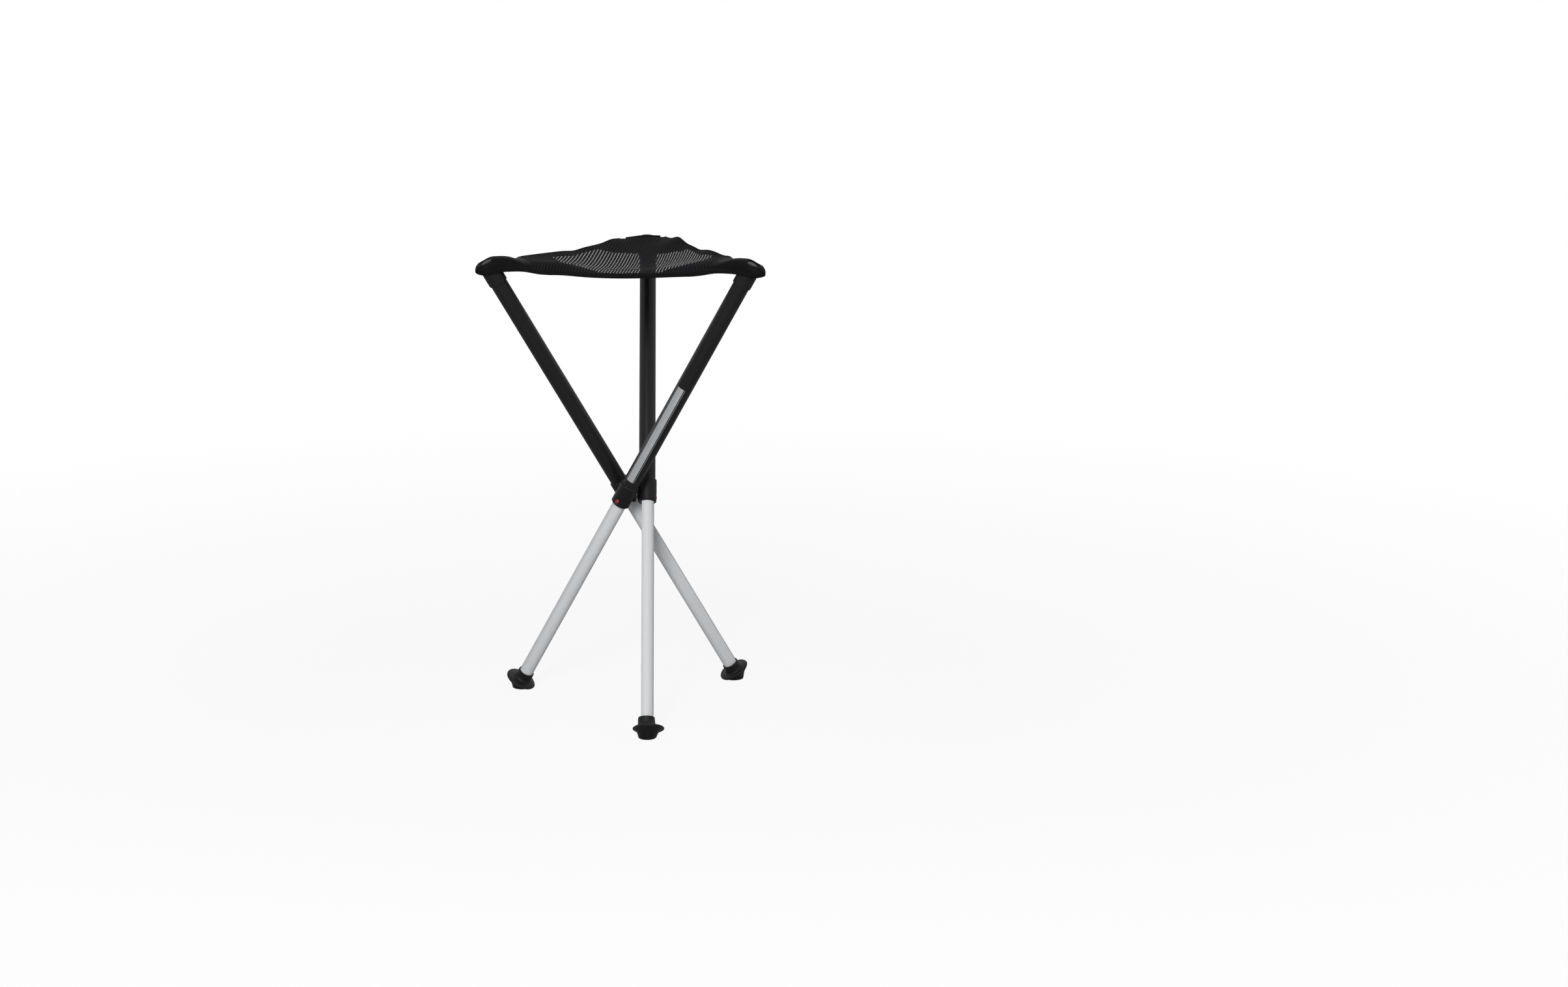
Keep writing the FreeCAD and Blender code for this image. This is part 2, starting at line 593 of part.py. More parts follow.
# Sections of a corner pocket, nose first: place along its length, half width, bottom and top
# below its highest point, and soft corner, as shares of the pocket's length, half width, depth,
# depth and half width.
POCKET_SECTIONS = [
    (0.0, 0.40, 0.84, 0.65, 0.15),
    (0.08, 0.70, 0.95, 0.45, 0.30),
    (0.25, 0.92, 1.0, 0.25, 0.48),
    (0.53, 1.0, 0.97, 0.08, 0.54),
    (0.86, 1.0, 0.90, 0.0, 0.54),
    (1.0, 1.01, 0.82, 0.02, 0.48),
]


def make_pocket():
    """Sewn corner pocket: a blunt nose over the cap, with a dimple under the rivet."""
    wide, depth, length = size("pocket_half_width"), size("pocket_depth"), size("pocket_length")
    sections = [
        corner_section(size("seat_nose") - back * length, breadth * wide,
                       size("seat_height") - low * depth, size("seat_height") - high * depth,
                       soft * wide)
        for back, breadth, low, high, soft in POCKET_SECTIONS]
    cloth = loft_through(sections)
    lean = leg_placement(0.0)
    gap = size("cloth_gap")
    depth = size("pocket_depth")
    shank_hole = Part.makeCylinder(size("rivet_shank") / 2 + gap, depth, Vector(0, 0, size("upper_end")))
    seat_radius = size("rivet_diameter") / 2 + gap
    dimple = Part.makeCone(seat_radius, seat_radius + depth / 2, depth,
                           Vector(0, 0, size("rivet_seat") - gap))
    for tool in (shank_hole, dimple):
        tool.transformShape(lean.toMatrix())
        cloth = cloth.cut(tool)
    return solid_feature("pocket_drawn", cloth.cut(cap_room()))


def make_corner_patch():
    """Solid cloth between a pocket and the mesh, thick at the pocket and thin at the mesh."""
    start, end = size("patch_start"), size("patch_end")
    middle = (start + end) / 2
    top, deep = size("seat_height"), size("pocket_depth")
    soft = size("mesh_thickness")
    sections = [corner_section(start, edge_half_width(start), top - 0.82 * deep, top - 0.02 * deep,
                               8 * soft)]
    for place, depth, corner in ((middle, size("patch_depth"), 4 * soft),
                                 (end, size("patch_edge"), 2 * soft)):
        upper = mesh_height(place) + 0.4 * depth
        sections.append(corner_section(place, edge_half_width(place), upper - depth, upper, corner))
    cloth = loft_through(sections)
    return solid_feature("patch_drawn", cloth.cut(cap_room()))


def edge_outline(inset, height=0.0):
    """Plan of the seat inside its three curved edges, each moved in by the inset. The ends are
    cut square across the corners where the patches begin."""
    end = size("patch_end") - size("cloth_gap")
    radius, middle = edge_arc()
    radius += inset
    middle -= inset
    span = math.radians(60)
    width = edge_half_width(end) - inset / math.sin(span)
    for _ in range(30):
        along = end * math.sin(span) - width * 0.5
        across = middle + radius - math.sqrt(radius ** 2 - along ** 2)
        width = (across - end * 0.5) / math.sin(span)
    edges = []
    ends = []
    for _, azimuth in LEGS:
        direction = math.radians(corner_azimuth + azimuth)
        out = Vector(math.cos(direction), math.sin(direction), 0)
        across = Vector(-math.sin(direction), math.cos(direction), 0)
        ends.append((out * end - across * width, out * end + across * width, direction + span))
    for place, (start, finish, middle_direction) in enumerate(ends):
        following = ends[(place + 1) % 3][0]
        halfway = Vector(middle * math.cos(middle_direction), middle * math.sin(middle_direction), 0)
        edges.append(Part.makeLine(start, finish))
        edges.append(Part.Arc(finish, halfway, following).toShape())
    wire = Part.Wire(edges)
    wire.translate(Vector(0, 0, height))
    return wire


def hanging_shell(above, below):
    """Thick bowl that follows the mesh, between two offsets from it."""
    curve = size("seat_curve")
    centre = Vector(0, 0, size("seat_centre") + curve)
    outer = Part.makeSphere(curve + below, centre, Vector(0, 0, -1), 60, 90, 360)
    inner = Part.makeSphere(curve - above, centre)
    return outer.cut(inner)


def net_gaps(outline_face, floor):
    """Square gaps in slanted rows, as closed wires, kept where they lie well inside."""
    pitch, side = size("net_pitch"), size("net_gap")
    turn = Rotation(Vector(0, 0, 1), size("net_turn"))
    count = int(size("seat_nose") / pitch)
    margin = side
    gaps = []
    for row in range(-count, count + 1):
        for column in range(-count, count + 1):
            middle = turn.multVec(Vector(column * pitch, row * pitch, 0)) + Vector(0, 0, floor)
            spot = Part.Vertex(middle)
            if not outline_face.isInside(middle, 1e-3, True):
                continue
            if outline_face.OuterWire.distToShape(spot)[0] < margin:
                continue
            corners = [middle + turn.multVec(Vector(x, y, 0)) * (side / 2)
                       for x, y in ((-1, -1), (1, -1), (1, 1), (-1, 1), (-1, -1))]
            gaps.append(Part.makePolygon(corners))
    return gaps


def make_seat_mesh():
    """The hanging net: one holed sheet, cut to the bowl's curve."""
    floor = size("seat_centre") - size("seat_dip")
    inset = size("binding_thickness") + size("cloth_gap")
    outline = edge_outline(inset, floor)
    plain = Part.Face(outline)
    gaps = net_gaps(plain, floor)
    print("gaps in the net:", len(gaps))
    holed = Part.makeFace([outline] + gaps, "Part::FaceMakerBullseye")
    sheet_solid = holed.extrude(Vector(0, 0, 4 * size("seat_dip")))
    half = size("mesh_thickness") / 2
    return sheet_solid.common(hanging_shell(half, half))


def make_bindings():
    """Upright tape along each edge, between the patches."""
    floor = size("seat_centre") - size("seat_dip")
    upright = Vector(0, 0, 4 * size("seat_dip"))
    outside = Part.Face(edge_outline(0.0, floor)).extrude(upright)
    inside = Part.Face(edge_outline(size("binding_thickness"), floor)).extrude(upright)
    lip = size("mesh_thickness")
    band = outside.cut(inside).common(hanging_shell(lip, size("binding_height") - lip))
    ordered = sorted(band.Solids, key=lambda solid: math.atan2(solid.CenterOfMass.y, solid.CenterOfMass.x))
    return ordered


def make_hub_block():
    """Central block with three hinge faces and blind holes for the pins: one triangular prism
    gives the faces, and one turned half round takes off its corners."""
    prisms = []
    for name, reach, turn in (("hub_faces", "2 * hub_face", 180), ("hub_corners", "2 * hub_corner", 0)):
        prism = doc.addObject("Part::Prism", name)
        prism.Polygon = 3
        prism.Placement = Placement(Vector(0, 0, 0), Rotation(Vector(0, 0, 1), turn))
        prism.setExpression("Circumradius", link(reach))
        prism.setExpression("Height", link("hub_block_height"))
        prism.setExpression("Placement.Base.z", link("hub_height - hub_block_height / 2"))
        prisms.append(prism)
    plain = doc.addObject("Part::MultiCommon", "hub_plain")
    plain.Shapes = prisms
    doc.recompute()
    bevel = size("hub_bevel")
    level = [place for place, edge in enumerate(plain.Shape.Edges, start=1)
             if abs(edge.Vertexes[0].Z - edge.Vertexes[-1].Z) < bevel / 2]
    bevelled = doc.addObject("Part::Chamfer", "hub_bevelled")
    bevelled.Base = plain
    bevelled.Edges = [(place, bevel, bevel) for place in level]
    holes = []
    for letter, azimuth in LEGS:
        hole = doc.addObject("Part::Cylinder", f"hub_pin_hole_{letter}")
        hole.Placement = Placement(Vector(0, 0, 0), Rotation(Vector(0, 0, 1), azimuth)
                                   * Rotation(Vector(0, 1, 0), 90))
        hole.setExpression("Radius", link("pin_diameter / 2"))
        hole.setExpression("Height", link("hub_face"))
        angle = math.radians(azimuth)
        hole.setExpression("Placement.Base.x", link(f"hub_core * {math.cos(angle):.9f}"))
        hole.setExpression("Placement.Base.y", link(f"hub_core * {math.sin(angle):.9f}"))
        hole.setExpression("Placement.Base.z", link("hub_height"))
        holes.append(hole)
    block = without("hub_block_drawn", bevelled, *holes)
    doc.recompute()
    return block.Shape


def make_hinge_pin():
    """Headed pin, screwed into the hub from inside the collar."""
    body = joined(
        "hinge_pin_body",
        cylinder("pin_shank", "pin_diameter / 2", "hub_core - hinge_radius",
                 "hinge_radius - hub_core - pin_head_seat", True),
        cylinder("pin_head", "pin_head_diameter / 2", "-pin_head_seat",
                 "pin_head_height - pin_head_edge", True),
        cone("pin_head_face", "pin_head_diameter / 2", "pin_head_diameter / 2 - pin_head_edge",
             "pin_head_height - pin_head_edge - pin_head_seat", "pin_head_edge", True),
    )
    drive = cylinder("pin_drive", "drive_diameter / 2", "pin_head_height - drive_depth - pin_head_seat",
                     "2 * drive_depth", True)
    return without("hinge_pin_drawn", body, drive)


def make_washer():
    """Plain washer, midway between the hub's face and the collar's boss."""
    start = "(hub_face - hinge_radius - boss_face - washer_thickness) / 2"
    outside = cylinder("washer_outside", "washer_diameter / 2", start, "washer_thickness", True)
    hole = cylinder("washer_hole", "pin_diameter / 2 + fit_gap", start, "washer_thickness", True)
    return without("washer_drawn", outside, hole)


add_node("hub_block", make_hub_block())
one_per_leg("hinge_pin", make_hinge_pin())
one_per_leg("thrust_washer", make_washer())
one_per_leg("hinge_collar", make_collar())
one_per_leg("upper_tube", make_upper_tube())
one_per_leg("top_cap", make_top_cap())
one_per_leg("seat_rivet", make_seat_rivet())
one_per_leg("lower_tube", make_lower_tube())
one_per_leg("guide_bush", make_guide_bush())
one_per_leg("rubber_foot", make_boot())
one_per_leg("release_button", make_button())
one_per_leg("latch_spring", make_latch_spring())
one_per_leg("corner_pocket", make_pocket(), turned_placement)
one_per_leg("corner_patch", make_corner_patch(), turned_placement)
add_node("seat_mesh", make_seat_mesh())
for side, solid in zip(("front", "right", "left"), make_bindings()):
    add_node(f"edge_binding_{side}", solid)

doc.recompute()
for item in doc.Objects:
    if "Invalid" in item.State or "Error" in item.State:
        raise RuntimeError(f"{item.Label} failed: {item.State}")
os.makedirs("parts", exist_ok=True)
for item in nodes:
    if item.Shape.isNull() or not item.Shape.isValid():
        raise RuntimeError(f"{item.Label} has no valid shape")
    print(f"{item.Label}: {len(item.Shape.Solids)} solid, {item.Shape.Volume:.1f} mm3")
for item in nodes:
    item.Shape.exportStep(f"parts/{item.Label}.step")
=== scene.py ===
# %% [markdown]
# # A folding tripod stool
# Three telescopic legs cross at a small hub, and a triangular net seat ties their tops together.
# The metal and plastic pieces come ready made from the frame. This lesson gives them their
# finishes, and makes what is soft: the seat's cloth and the rubber feet. Sizes are in
# millimetres, and become metres where they reach Blender.

import math

import bmesh
import bpy
import numpy as np
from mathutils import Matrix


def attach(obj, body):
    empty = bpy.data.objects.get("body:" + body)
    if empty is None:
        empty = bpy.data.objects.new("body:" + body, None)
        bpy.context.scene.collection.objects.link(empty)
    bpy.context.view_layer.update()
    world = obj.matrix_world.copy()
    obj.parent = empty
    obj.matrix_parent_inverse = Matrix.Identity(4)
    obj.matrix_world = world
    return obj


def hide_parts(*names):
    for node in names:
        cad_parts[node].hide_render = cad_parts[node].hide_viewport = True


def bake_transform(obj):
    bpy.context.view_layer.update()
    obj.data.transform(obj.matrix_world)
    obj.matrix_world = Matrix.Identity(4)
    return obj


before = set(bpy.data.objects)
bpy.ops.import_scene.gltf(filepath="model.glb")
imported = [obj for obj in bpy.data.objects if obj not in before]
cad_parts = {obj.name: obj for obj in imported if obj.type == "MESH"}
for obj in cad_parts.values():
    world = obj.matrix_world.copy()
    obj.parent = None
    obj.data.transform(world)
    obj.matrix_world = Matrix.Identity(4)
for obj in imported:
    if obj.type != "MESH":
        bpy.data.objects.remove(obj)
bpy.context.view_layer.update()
MM = 0.001

# %% [markdown]
# ## Camera
# The stool was photographed from chest height, and its lines hardly converge. A short lens from
# close by could frame it too, but it would splay the legs. So the camera stands over four metres
# away with a long lens. Its place was fitted to the feet, the crossing and the seat's corners.

# %% Camera
SENSOR_WIDTH, LENS = 36.0, 60.57
CAMERA_PLACE = (0.1328, -4.226, 1.2544)
CAMERA_TILT, CAMERA_TURN = math.radians(77.923), math.radians(-1.569)
camera = bpy.data.objects.new("camera", bpy.data.cameras.new("camera"))
bpy.context.collection.objects.link(camera)
camera.data.sensor_width = SENSOR_WIDTH
camera.data.lens = LENS
camera.location = CAMERA_PLACE
camera.rotation_euler = (CAMERA_TILT, 0.0, CAMERA_TURN)
bpy.context.scene.camera = camera
print(f"camera {math.hypot(*CAMERA_PLACE[:2]):.2f} m away with a {LENS} mm lens")

# %% [markdown]
# ## Small helpers for materials
# Colours are written as hex values, as a picture editor shows them. They could be typed as
# linear numbers, which Blender's sockets hold, but nobody can read those, so one function turns
# them. A second one adds a shader node with its settings and links, which keeps finishes short.

# %% Helpers for materials
WHITE = (1.0, 1.0, 1.0, 1.0)
MIX_A, MIX_B, MIX_RESULT = 6, 7, 2  # a Mix node's colour sockets, by number


def hex_colour(text):
    """Linear red, green, blue and alpha of an sRGB hex colour: each value over 255 goes through
    the sRGB curve, ((v + 0.055) / 1.055) to the power 2.4 above its short straight part."""
    values = np.array([int(text[place:place + 2], 16) for place in (1, 3, 5)]) / 255
    linear = np.where(values <= 0.04045, values / 12.92, ((values + 0.055) / 1.055) ** 2.4)
    return (*linear.tolist(), 1.0)


def node(tree, kind, inputs=None, links=None, **settings):
    """Add a node: settings are its own properties, inputs are socket values, links are sockets."""
    made = tree.nodes.new(kind)
    for name, value in settings.items():
        setattr(made, name, value)
    for name, value in (inputs or {}).items():
        made.inputs[name].default_value = value
    for name, socket in (links or {}).items():
        tree.links.new(socket, made.inputs[name])
    return made


def surface_tree(name):
    """A material with an empty node tree, and its output node."""
    material = bpy.data.materials.new(name)
    material.use_nodes = True
    tree = material.node_tree
    tree.nodes.clear()
    return material, tree, tree.nodes.new("ShaderNodeOutputMaterial")


print("red of the release buttons in linear light:", hex_colour("#802b31")[:3])

# %% [markdown]
# ## Where a leg stands
# Each leg turns on a pin beside the hub and leans sideways, so the three are one leg, turned by
# a third of a circle each time. A finish or a foot could be placed by typed coordinates, but the
# leg's own directions say it once for all three.

# %% A leg's own axes
TILT = math.radians(31.58)
AZIMUTH = {"a": math.radians(-120), "b": 0.0, "c": math.radians(120)}
HINGE_RADIUS, HUB_HEIGHT = 24.6, 352.0


def leg_axes(letter):
    """The hinge's place, the direction away from the hub, the side that the leg leans towards,
    and the direction up the tube. The last two are tilted by the leg's lean."""
    turn = AZIMUTH[letter]
    outward = np.array([math.cos(turn), math.sin(turn), 0.0])
    sideways = np.array([-math.sin(turn), math.cos(turn), 0.0])
    up = np.array([0.0, 0.0, 1.0])
    axis = math.cos(TILT) * up + math.sin(TILT) * sideways
    lateral = math.cos(TILT) * sideways - math.sin(TILT) * up
    return HINGE_RADIUS * outward + HUB_HEIGHT * up, outward, lateral, axis


for letter in AZIMUTH:
    print("leg", letter, "runs up along", leg_axes(letter)[3].round(3))

# %% [markdown]
# ## Drawn and anodised tube
# The tubes are aluminium, drawn through a die, which leaves faint lines along them, and then
# anodised, which leaves a satin skin. The upper ones are dyed black and the lower ones are
# clear. That skin scatters light more than bare metal does, so the eye sees a soft grey tube
# with no mirror in it. A picture could be wrapped round each tube, but a noise that is stretched
# along it needs no unwrapping. Each leg has its own turn of the noise, because it leans its own
# way. Real lines are finer: these are as coarse as they need to be to show at all.

# %% Tube finish
LINE_WIDTH, LINE_SQUEEZE = 0.4, 0.01
TUBE_ROUGHNESS, TUBE_UNEVEN = 0.4, 0.03
SKIN_RELIEF, LINE_STRENGTH = 0.1, 0.01


def drawn_tube(name, letter, colour, specular):
    """Anodised drawn aluminium tube: noise with a period of two line widths across the tube and a
    hundred times that along it, which varies the roughness and gives a very faint relief."""
    material, tree, output = surface_tree(name)
    place = node(tree, "ShaderNodeTexCoord")
    turn = node(tree, "ShaderNodeMapping", {"Rotation": (-TILT, 0.0, AZIMUTH[letter])},
                {"Vector": place.outputs["Object"]}, vector_type="TEXTURE")
    stretch = node(tree, "ShaderNodeVectorMath", {1: (1.0, 1.0, LINE_SQUEEZE)},
                   {0: turn.outputs["Vector"]}, operation="MULTIPLY")
    lines = node(tree, "ShaderNodeTexNoise", {"Scale": 1 / (2 * LINE_WIDTH * MM), "Detail": 2.0},
                 {"Vector": stretch.outputs["Vector"]})
    rough = node(tree, "ShaderNodeMapRange", {"To Min": TUBE_ROUGHNESS - TUBE_UNEVEN,
                                              "To Max": TUBE_ROUGHNESS + TUBE_UNEVEN},
                 {"Value": lines.outputs["Fac"]})
    bump = node(tree, "ShaderNodeBump", {"Strength": LINE_STRENGTH, "Distance": SKIN_RELIEF * MM},
                {"Height": lines.outputs["Fac"]})
    shader = node(tree, "ShaderNodeBsdfPrincipled",
                  {"Base Color": hex_colour(colour), "Specular IOR Level": specular},
                  {"Roughness": rough.outputs["Result"], "Normal": bump.outputs["Normal"]})
    tree.links.new(shader.outputs["BSDF"], output.inputs["Surface"])
    return material


upper_finish = {letter: drawn_tube(f"black_anodised_tube_{letter}", letter, "#111112", 0.18)
                for letter in "abc"}
lower_finish = {letter: drawn_tube(f"clear_anodised_tube_{letter}", letter, "#c1c2c4", 0.12)
                for letter in "abc"}
print(len(upper_finish) + len(lower_finish), "tube finishes")

# %% [markdown]
# ## Moulded plastic and plated steel
# Collars, caps, rivets and feet come out of moulds with spark-eroded walls, so their skin has a
# fine grain that breaks up the shine. The grain could be modelled, but a bump from noise gives
# the same soft highlight for nothing. Real grain is under a tenth of a millimetre: this one is
# as coarse as it needs to be to show. Springs and pins are zinc-plated steel, which is bright
# and unevenly polished instead of grained.

# %% Moulded and plated finishes
GLOSS_PATCH, GLOSS_UNEVEN = 18, 0.06
PLATING_PATCH = 4


def moulded(name, colour, roughness, grain, depth, specular=0.5):
    """Moulded plastic or rubber: noise as fine as the grain lifts the skin by up to 0.1 mm times
    the depth, and a broad noise varies the roughness from patch to patch."""
    material, tree, output = surface_tree(name)
    place = node(tree, "ShaderNodeTexCoord")
    fine = node(tree, "ShaderNodeTexNoise", {"Scale": 1 / (grain * MM), "Detail": 3.0},
                {"Vector": place.outputs["Object"]})
    broad = node(tree, "ShaderNodeTexNoise", {"Scale": 1 / (GLOSS_PATCH * MM), "Detail": 2.0},
                 {"Vector": place.outputs["Object"]})
    rough = node(tree, "ShaderNodeMapRange", {"To Min": roughness - GLOSS_UNEVEN,
                                              "To Max": roughness + GLOSS_UNEVEN},
                 {"Value": broad.outputs["Fac"]})
    bump = node(tree, "ShaderNodeBump", {"Strength": depth, "Distance": SKIN_RELIEF * MM},
                {"Height": fine.outputs["Fac"]})
    shader = node(tree, "ShaderNodeBsdfPrincipled",
                  {"Base Color": hex_colour(colour), "Specular IOR Level": specular},
                  {"Roughness": rough.outputs["Result"], "Normal": bump.outputs["Normal"]})
    tree.links.new(shader.outputs["BSDF"], output.inputs["Surface"])
    return material


def plated_steel(name, colour, roughness):
    """Zinc-plated steel: a bright metal whose roughness varies with a noise, as polish does."""
    material, tree, output = surface_tree(name)
    place = node(tree, "ShaderNodeTexCoord")
    cloud = node(tree, "ShaderNodeTexNoise", {"Scale": 1 / (PLATING_PATCH * MM), "Detail": 4.0},
                 {"Vector": place.outputs["Object"]})
    rough = node(tree, "ShaderNodeMapRange", {"To Min": roughness - GLOSS_UNEVEN,
                                              "To Max": roughness + GLOSS_UNEVEN},
                 {"Value": cloud.outputs["Fac"]})
    shader = node(tree, "ShaderNodeBsdfPrincipled",
                  {"Base Color": hex_colour(colour), "Metallic": 1.0},
                  {"Roughness": rough.outputs["Result"]})
    tree.links.new(shader.outputs["BSDF"], output.inputs["Surface"])
    return material


# Glass in the nylon dulls it, so collars and caps look almost matt.
collar_plastic = moulded("glass_filled_nylon", "#0f0f10", 0.45, 0.5, 0.15, 0.15)
cap_plastic = moulded("cap_nylon", "#121213", 0.45, 0.5, 0.12, 0.16)
# Rubber is the dullest of the black pieces, with soft wide highlights.
foot_rubber = moulded("moulded_rubber", "#101011", 0.5, 0.4, 0.15, 0.15)
# Acetal is smooth and waxy, and keeps a small highlight.
button_plastic = moulded("red_acetal", "#802b31", 0.35, 0.6, 0.1, 0.3)
# The rivets' flat heads are grey discs in the black cloth, and their grey is lightened further
# to paint the soft highlight on each pocket's tip.
rivet_grey_and_sheen = moulded("rivet_nylon", "#303033", 0.45, 0.6, 0.1, 0.12)
# Undyed nylon is a milky white.
washer_plastic = moulded("natural_nylon", "#d9d7cf", 0.45, 0.6, 0.15)
# The hub is a machined and anodised block, satin like the tubes but with a finer grain.
hub_finish = moulded("black_anodised_block", "#18181a", 0.4, 0.3, 0.15)
# Zinc plating is a bluish bright grey.
zinc_steel = plated_steel("zinc_plated_steel", "#b9bcc0", 0.32)
print("finishes so far:", len(bpy.data.materials))

# %% [markdown]
# ## Dress the ready-made pieces
# A ready-made piece keeps its shape, and only its finish changes. One black for all would be
# quick, but dark plastics differ a little in grey and gloss, and those small steps are what
# tells cap, tube and collar apart.

# %% Dress the ready-made pieces
SHARED_FINISHES = {
    "hinge_collar": collar_plastic, "top_cap": cap_plastic, "guide_bush": collar_plastic,
    "rubber_foot": foot_rubber, "release_button": button_plastic, "seat_rivet": rivet_grey_and_sheen,
    "thrust_washer": washer_plastic, "hinge_pin": zinc_steel, "latch_spring": zinc_steel,
}


def dress(name, material):
    """Put one material on a ready-made piece."""
    piece = bpy.data.objects[name]
    piece.data.materials.clear()
    piece.data.materials.append(material)


for letter in "abc":
    dress(f"upper_tube_{letter}", upper_finish[letter])
    dress(f"lower_tube_{letter}", lower_finish[letter])
    for name, material in SHARED_FINISHES.items():
        dress(f"{name}_{letter}", material)
dress("hub_block", hub_finish)
print("dressed", 3 * (len(SHARED_FINISHES) + 2) + 1, "pieces")

# %% [markdown]
# ## The seat's plan
# Seen from above the seat is a triangle whose corners lie over the legs' tops, and whose sides
# curve inwards, because taut cloth pulls its edges in. The sides could be drawn by hand, but
# each is one arc of a large circle, so its middle and radius say it all. A point is given by
# its distance out along a corner's direction, and across it.

# %% Plan of the seat
CORNER_ALONG = 459.0
CORNER_AZIMUTH = math.atan2(CORNER_ALONG * math.sin(TILT), HINGE_RADIUS)
CORNERS = {letter: CORNER_AZIMUTH + AZIMUTH[letter] for letter in "abc"}
CORNER_REACH = 230.0
EDGE_MIDDLE, EDGE_RADIUS = 108.0, 866.0
SIXTY = math.pi / 3


def in_plan(letter, out, across):
    """Plan position of a point given along a corner's direction and to the left of it."""
    direction = CORNERS[letter]
    x = out * math.cos(direction) - across * math.sin(direction)
    y = out * math.sin(direction) + across * math.cos(direction)
    return x, y


def half_width(out, steps=40, first_guess=20.0):
    """Half the seat's width across a corner's direction, in mm. Beyond the edge's middle it is
    where the line across meets the edge's arc, found by stepping; inside it is the sector's own
    straight border at 60 degrees."""
    out = np.asarray(out, float)
    width = np.full_like(out, first_guess)
    for _ in range(steps):
        along = out * math.sin(SIXTY) - width * 0.5
        side = EDGE_MIDDLE + EDGE_RADIUS - np.sqrt(EDGE_RADIUS ** 2 - along ** 2)
        width = (side - out * 0.5) / math.sin(SIXTY)
    return np.where(out < EDGE_MIDDLE / 2, out * math.tan(SIXTY), width)


print("half the seat's width at 60, 120 and 180 mm out:", half_width([60, 120, 180]).round(1))

# %% [markdown]
# ## The seat's height
# The cloth hangs from three corners: its front edge sags, its middle hangs lowest, and soft
# waves run where it has more cloth than it needs. A cloth simulation would settle into waves of
# its own, but these have to be the photographed ones, so the height is a sum of a few plain
# shapes. Net, tape, linings and pockets all read it, so they stay together.

# %% Height of the seat
CORNER_LEVEL = {"a": 747.0, "b": 750.0, "c": 746.0}
MIDDLE_LEVEL, BOWL_POWER = 720.0, 1.5
FRONT_SAG, FOLD_NEAR, FOLD_GROWTH = 23.0, 12, 45
REAR_SAG = {"ab": -5.0, "bc": 2.0}
SEAT_DEPTH = 1.5 * CORNER_REACH
WAVES = [
    # place in plan, reach and height in mm of the cloth's soft waves
    (86, 96, 30, 8.0), (-36, 150, 24, 3.0), (-98, 62, 20, -2.5), (116, 14, 20, -3.0),
    (-150, -40, 26, -0.5), (-104, -74, 30, 3.5), (146, -58, 24, -3.5), (18, 172, 26, 5.0),
]


def shares(x, y):
    """How near each corner a point is: 1/3 + 2/3 of its reach along the corner's direction."""
    return {letter: (1 + 2 * (x * math.cos(direction) + y * math.sin(direction)) / CORNER_REACH) / 3
            for letter, direction in CORNERS.items()}


def seat_height(x, y):
    """Height of the hanging cloth in mm, from the shares a, b and c of the three corners. Each
    edge has its sag times four times the product of its corners' shares. The front edge's sag
    fades behind the edge as exp(-distance / fade), where fade is 12 mm at the corners and 57 mm
    midway. A bowl, (27 a b c) to the power 1.5, brings the middle to its level. Soft waves are
    bell curves, height times exp(-(distance / reach) squared)."""
    near = shares(x, y)
    corners = sum(CORNER_LEVEL[letter] * near[letter] for letter in "abc")
    rear = sum(4 * sag * near[pair[0]] * near[pair[1]] for pair, sag in REAR_SAG.items())
    front = np.clip(4 * near["a"] * near["c"], 0, 1)
    behind = SEAT_DEPTH * np.clip(near["b"], 0, 1)
    fold = FRONT_SAG * front * np.exp(-behind / (FOLD_NEAR + FOLD_GROWTH * front ** 3))
    depth = sum(CORNER_LEVEL.values()) / 3 - 4 / 9 * sum(REAR_SAG.values()) - MIDDLE_LEVEL
    bowl = depth * np.clip(27 * near["a"] * near["b"] * near["c"], 0, 1) ** BOWL_POWER
    waves = sum(high * np.exp(-((x - at_x) ** 2 + (y - at_y) ** 2) / reach ** 2)
                for at_x, at_y, reach, high in WAVES)
    return corners - rear - fold - bowl + waves


print("seat: middle %.1f, front edge %.1f, back edge %.1f mm" % (
    seat_height(0, 0), seat_height(-11, -107), seat_height(99, 44)))

# %% [markdown]
# ## Where the net meets a pocket
# Each corner of the net is sewn to a thick cloth pocket that sits on the leg's cap. Its sizes
# could be a formula, but a sewn pocket has none, so they are a short table from the nose
# inwards. Net and tape read the same table near the corner, so no gap opens between them.

# %% Where the net meets a pocket
POCKET = np.array([
    # out, half width, shoulder, top, bottom
    (259.6, 0.5, 731.0, 731.6, 730.4),
    (258.6, 6.0, 731.5, 736.0, 727.5),
    (256.0, 10.5, 732.0, 739.8, 725.4),
    (251.5, 14.5, 733.0, 745.0, 724.0),
    (245.0, 16.6, 734.5, 749.2, 723.8),
    (237.0, 17.4, 736.0, 751.6, 725.0),
    (228.0, 17.6, 737.0, 752.6, 726.8),
    (215.0, 17.9, 737.5, 752.4, 728.8),
    (200.0, 20.5, 737.5, 750.6, 730.0),
    (188.0, 24.5, 737.5, 747.0, 730.8),
    (176.0, 29.5, 737.0, 742.6, 731.6),
])
OUT, HALF_WIDTH, SHOULDER, TOP, BOTTOM = range(5)
POCKET_NOSE, POCKET_TAIL = POCKET[0, OUT], POCKET[-1, OUT]
ARC_END, NARROWING, SEAM = 215.0, 30.0, 0.3
RISE_FROM, RISE_OVER = 165.0, 40.0


def pocket_size(out, column):
    """A column of the pocket's table at a distance out, by straight steps between its rows."""
    return np.interp(out, POCKET[::-1, OUT], POCKET[::-1, column])


def edge_half(out):
    """Half the width to the tape: the net's own half width, which past the pocket's tail narrows
    evenly to the pocket's side and a seam."""
    mixing = np.clip((out - POCKET_TAIL) / NARROWING, 0, 1)
    net_side = half_width(np.minimum(out, ARC_END))
    return net_side * (1 - mixing) + (pocket_size(out, HALF_WIDTH) + SEAM) * mixing


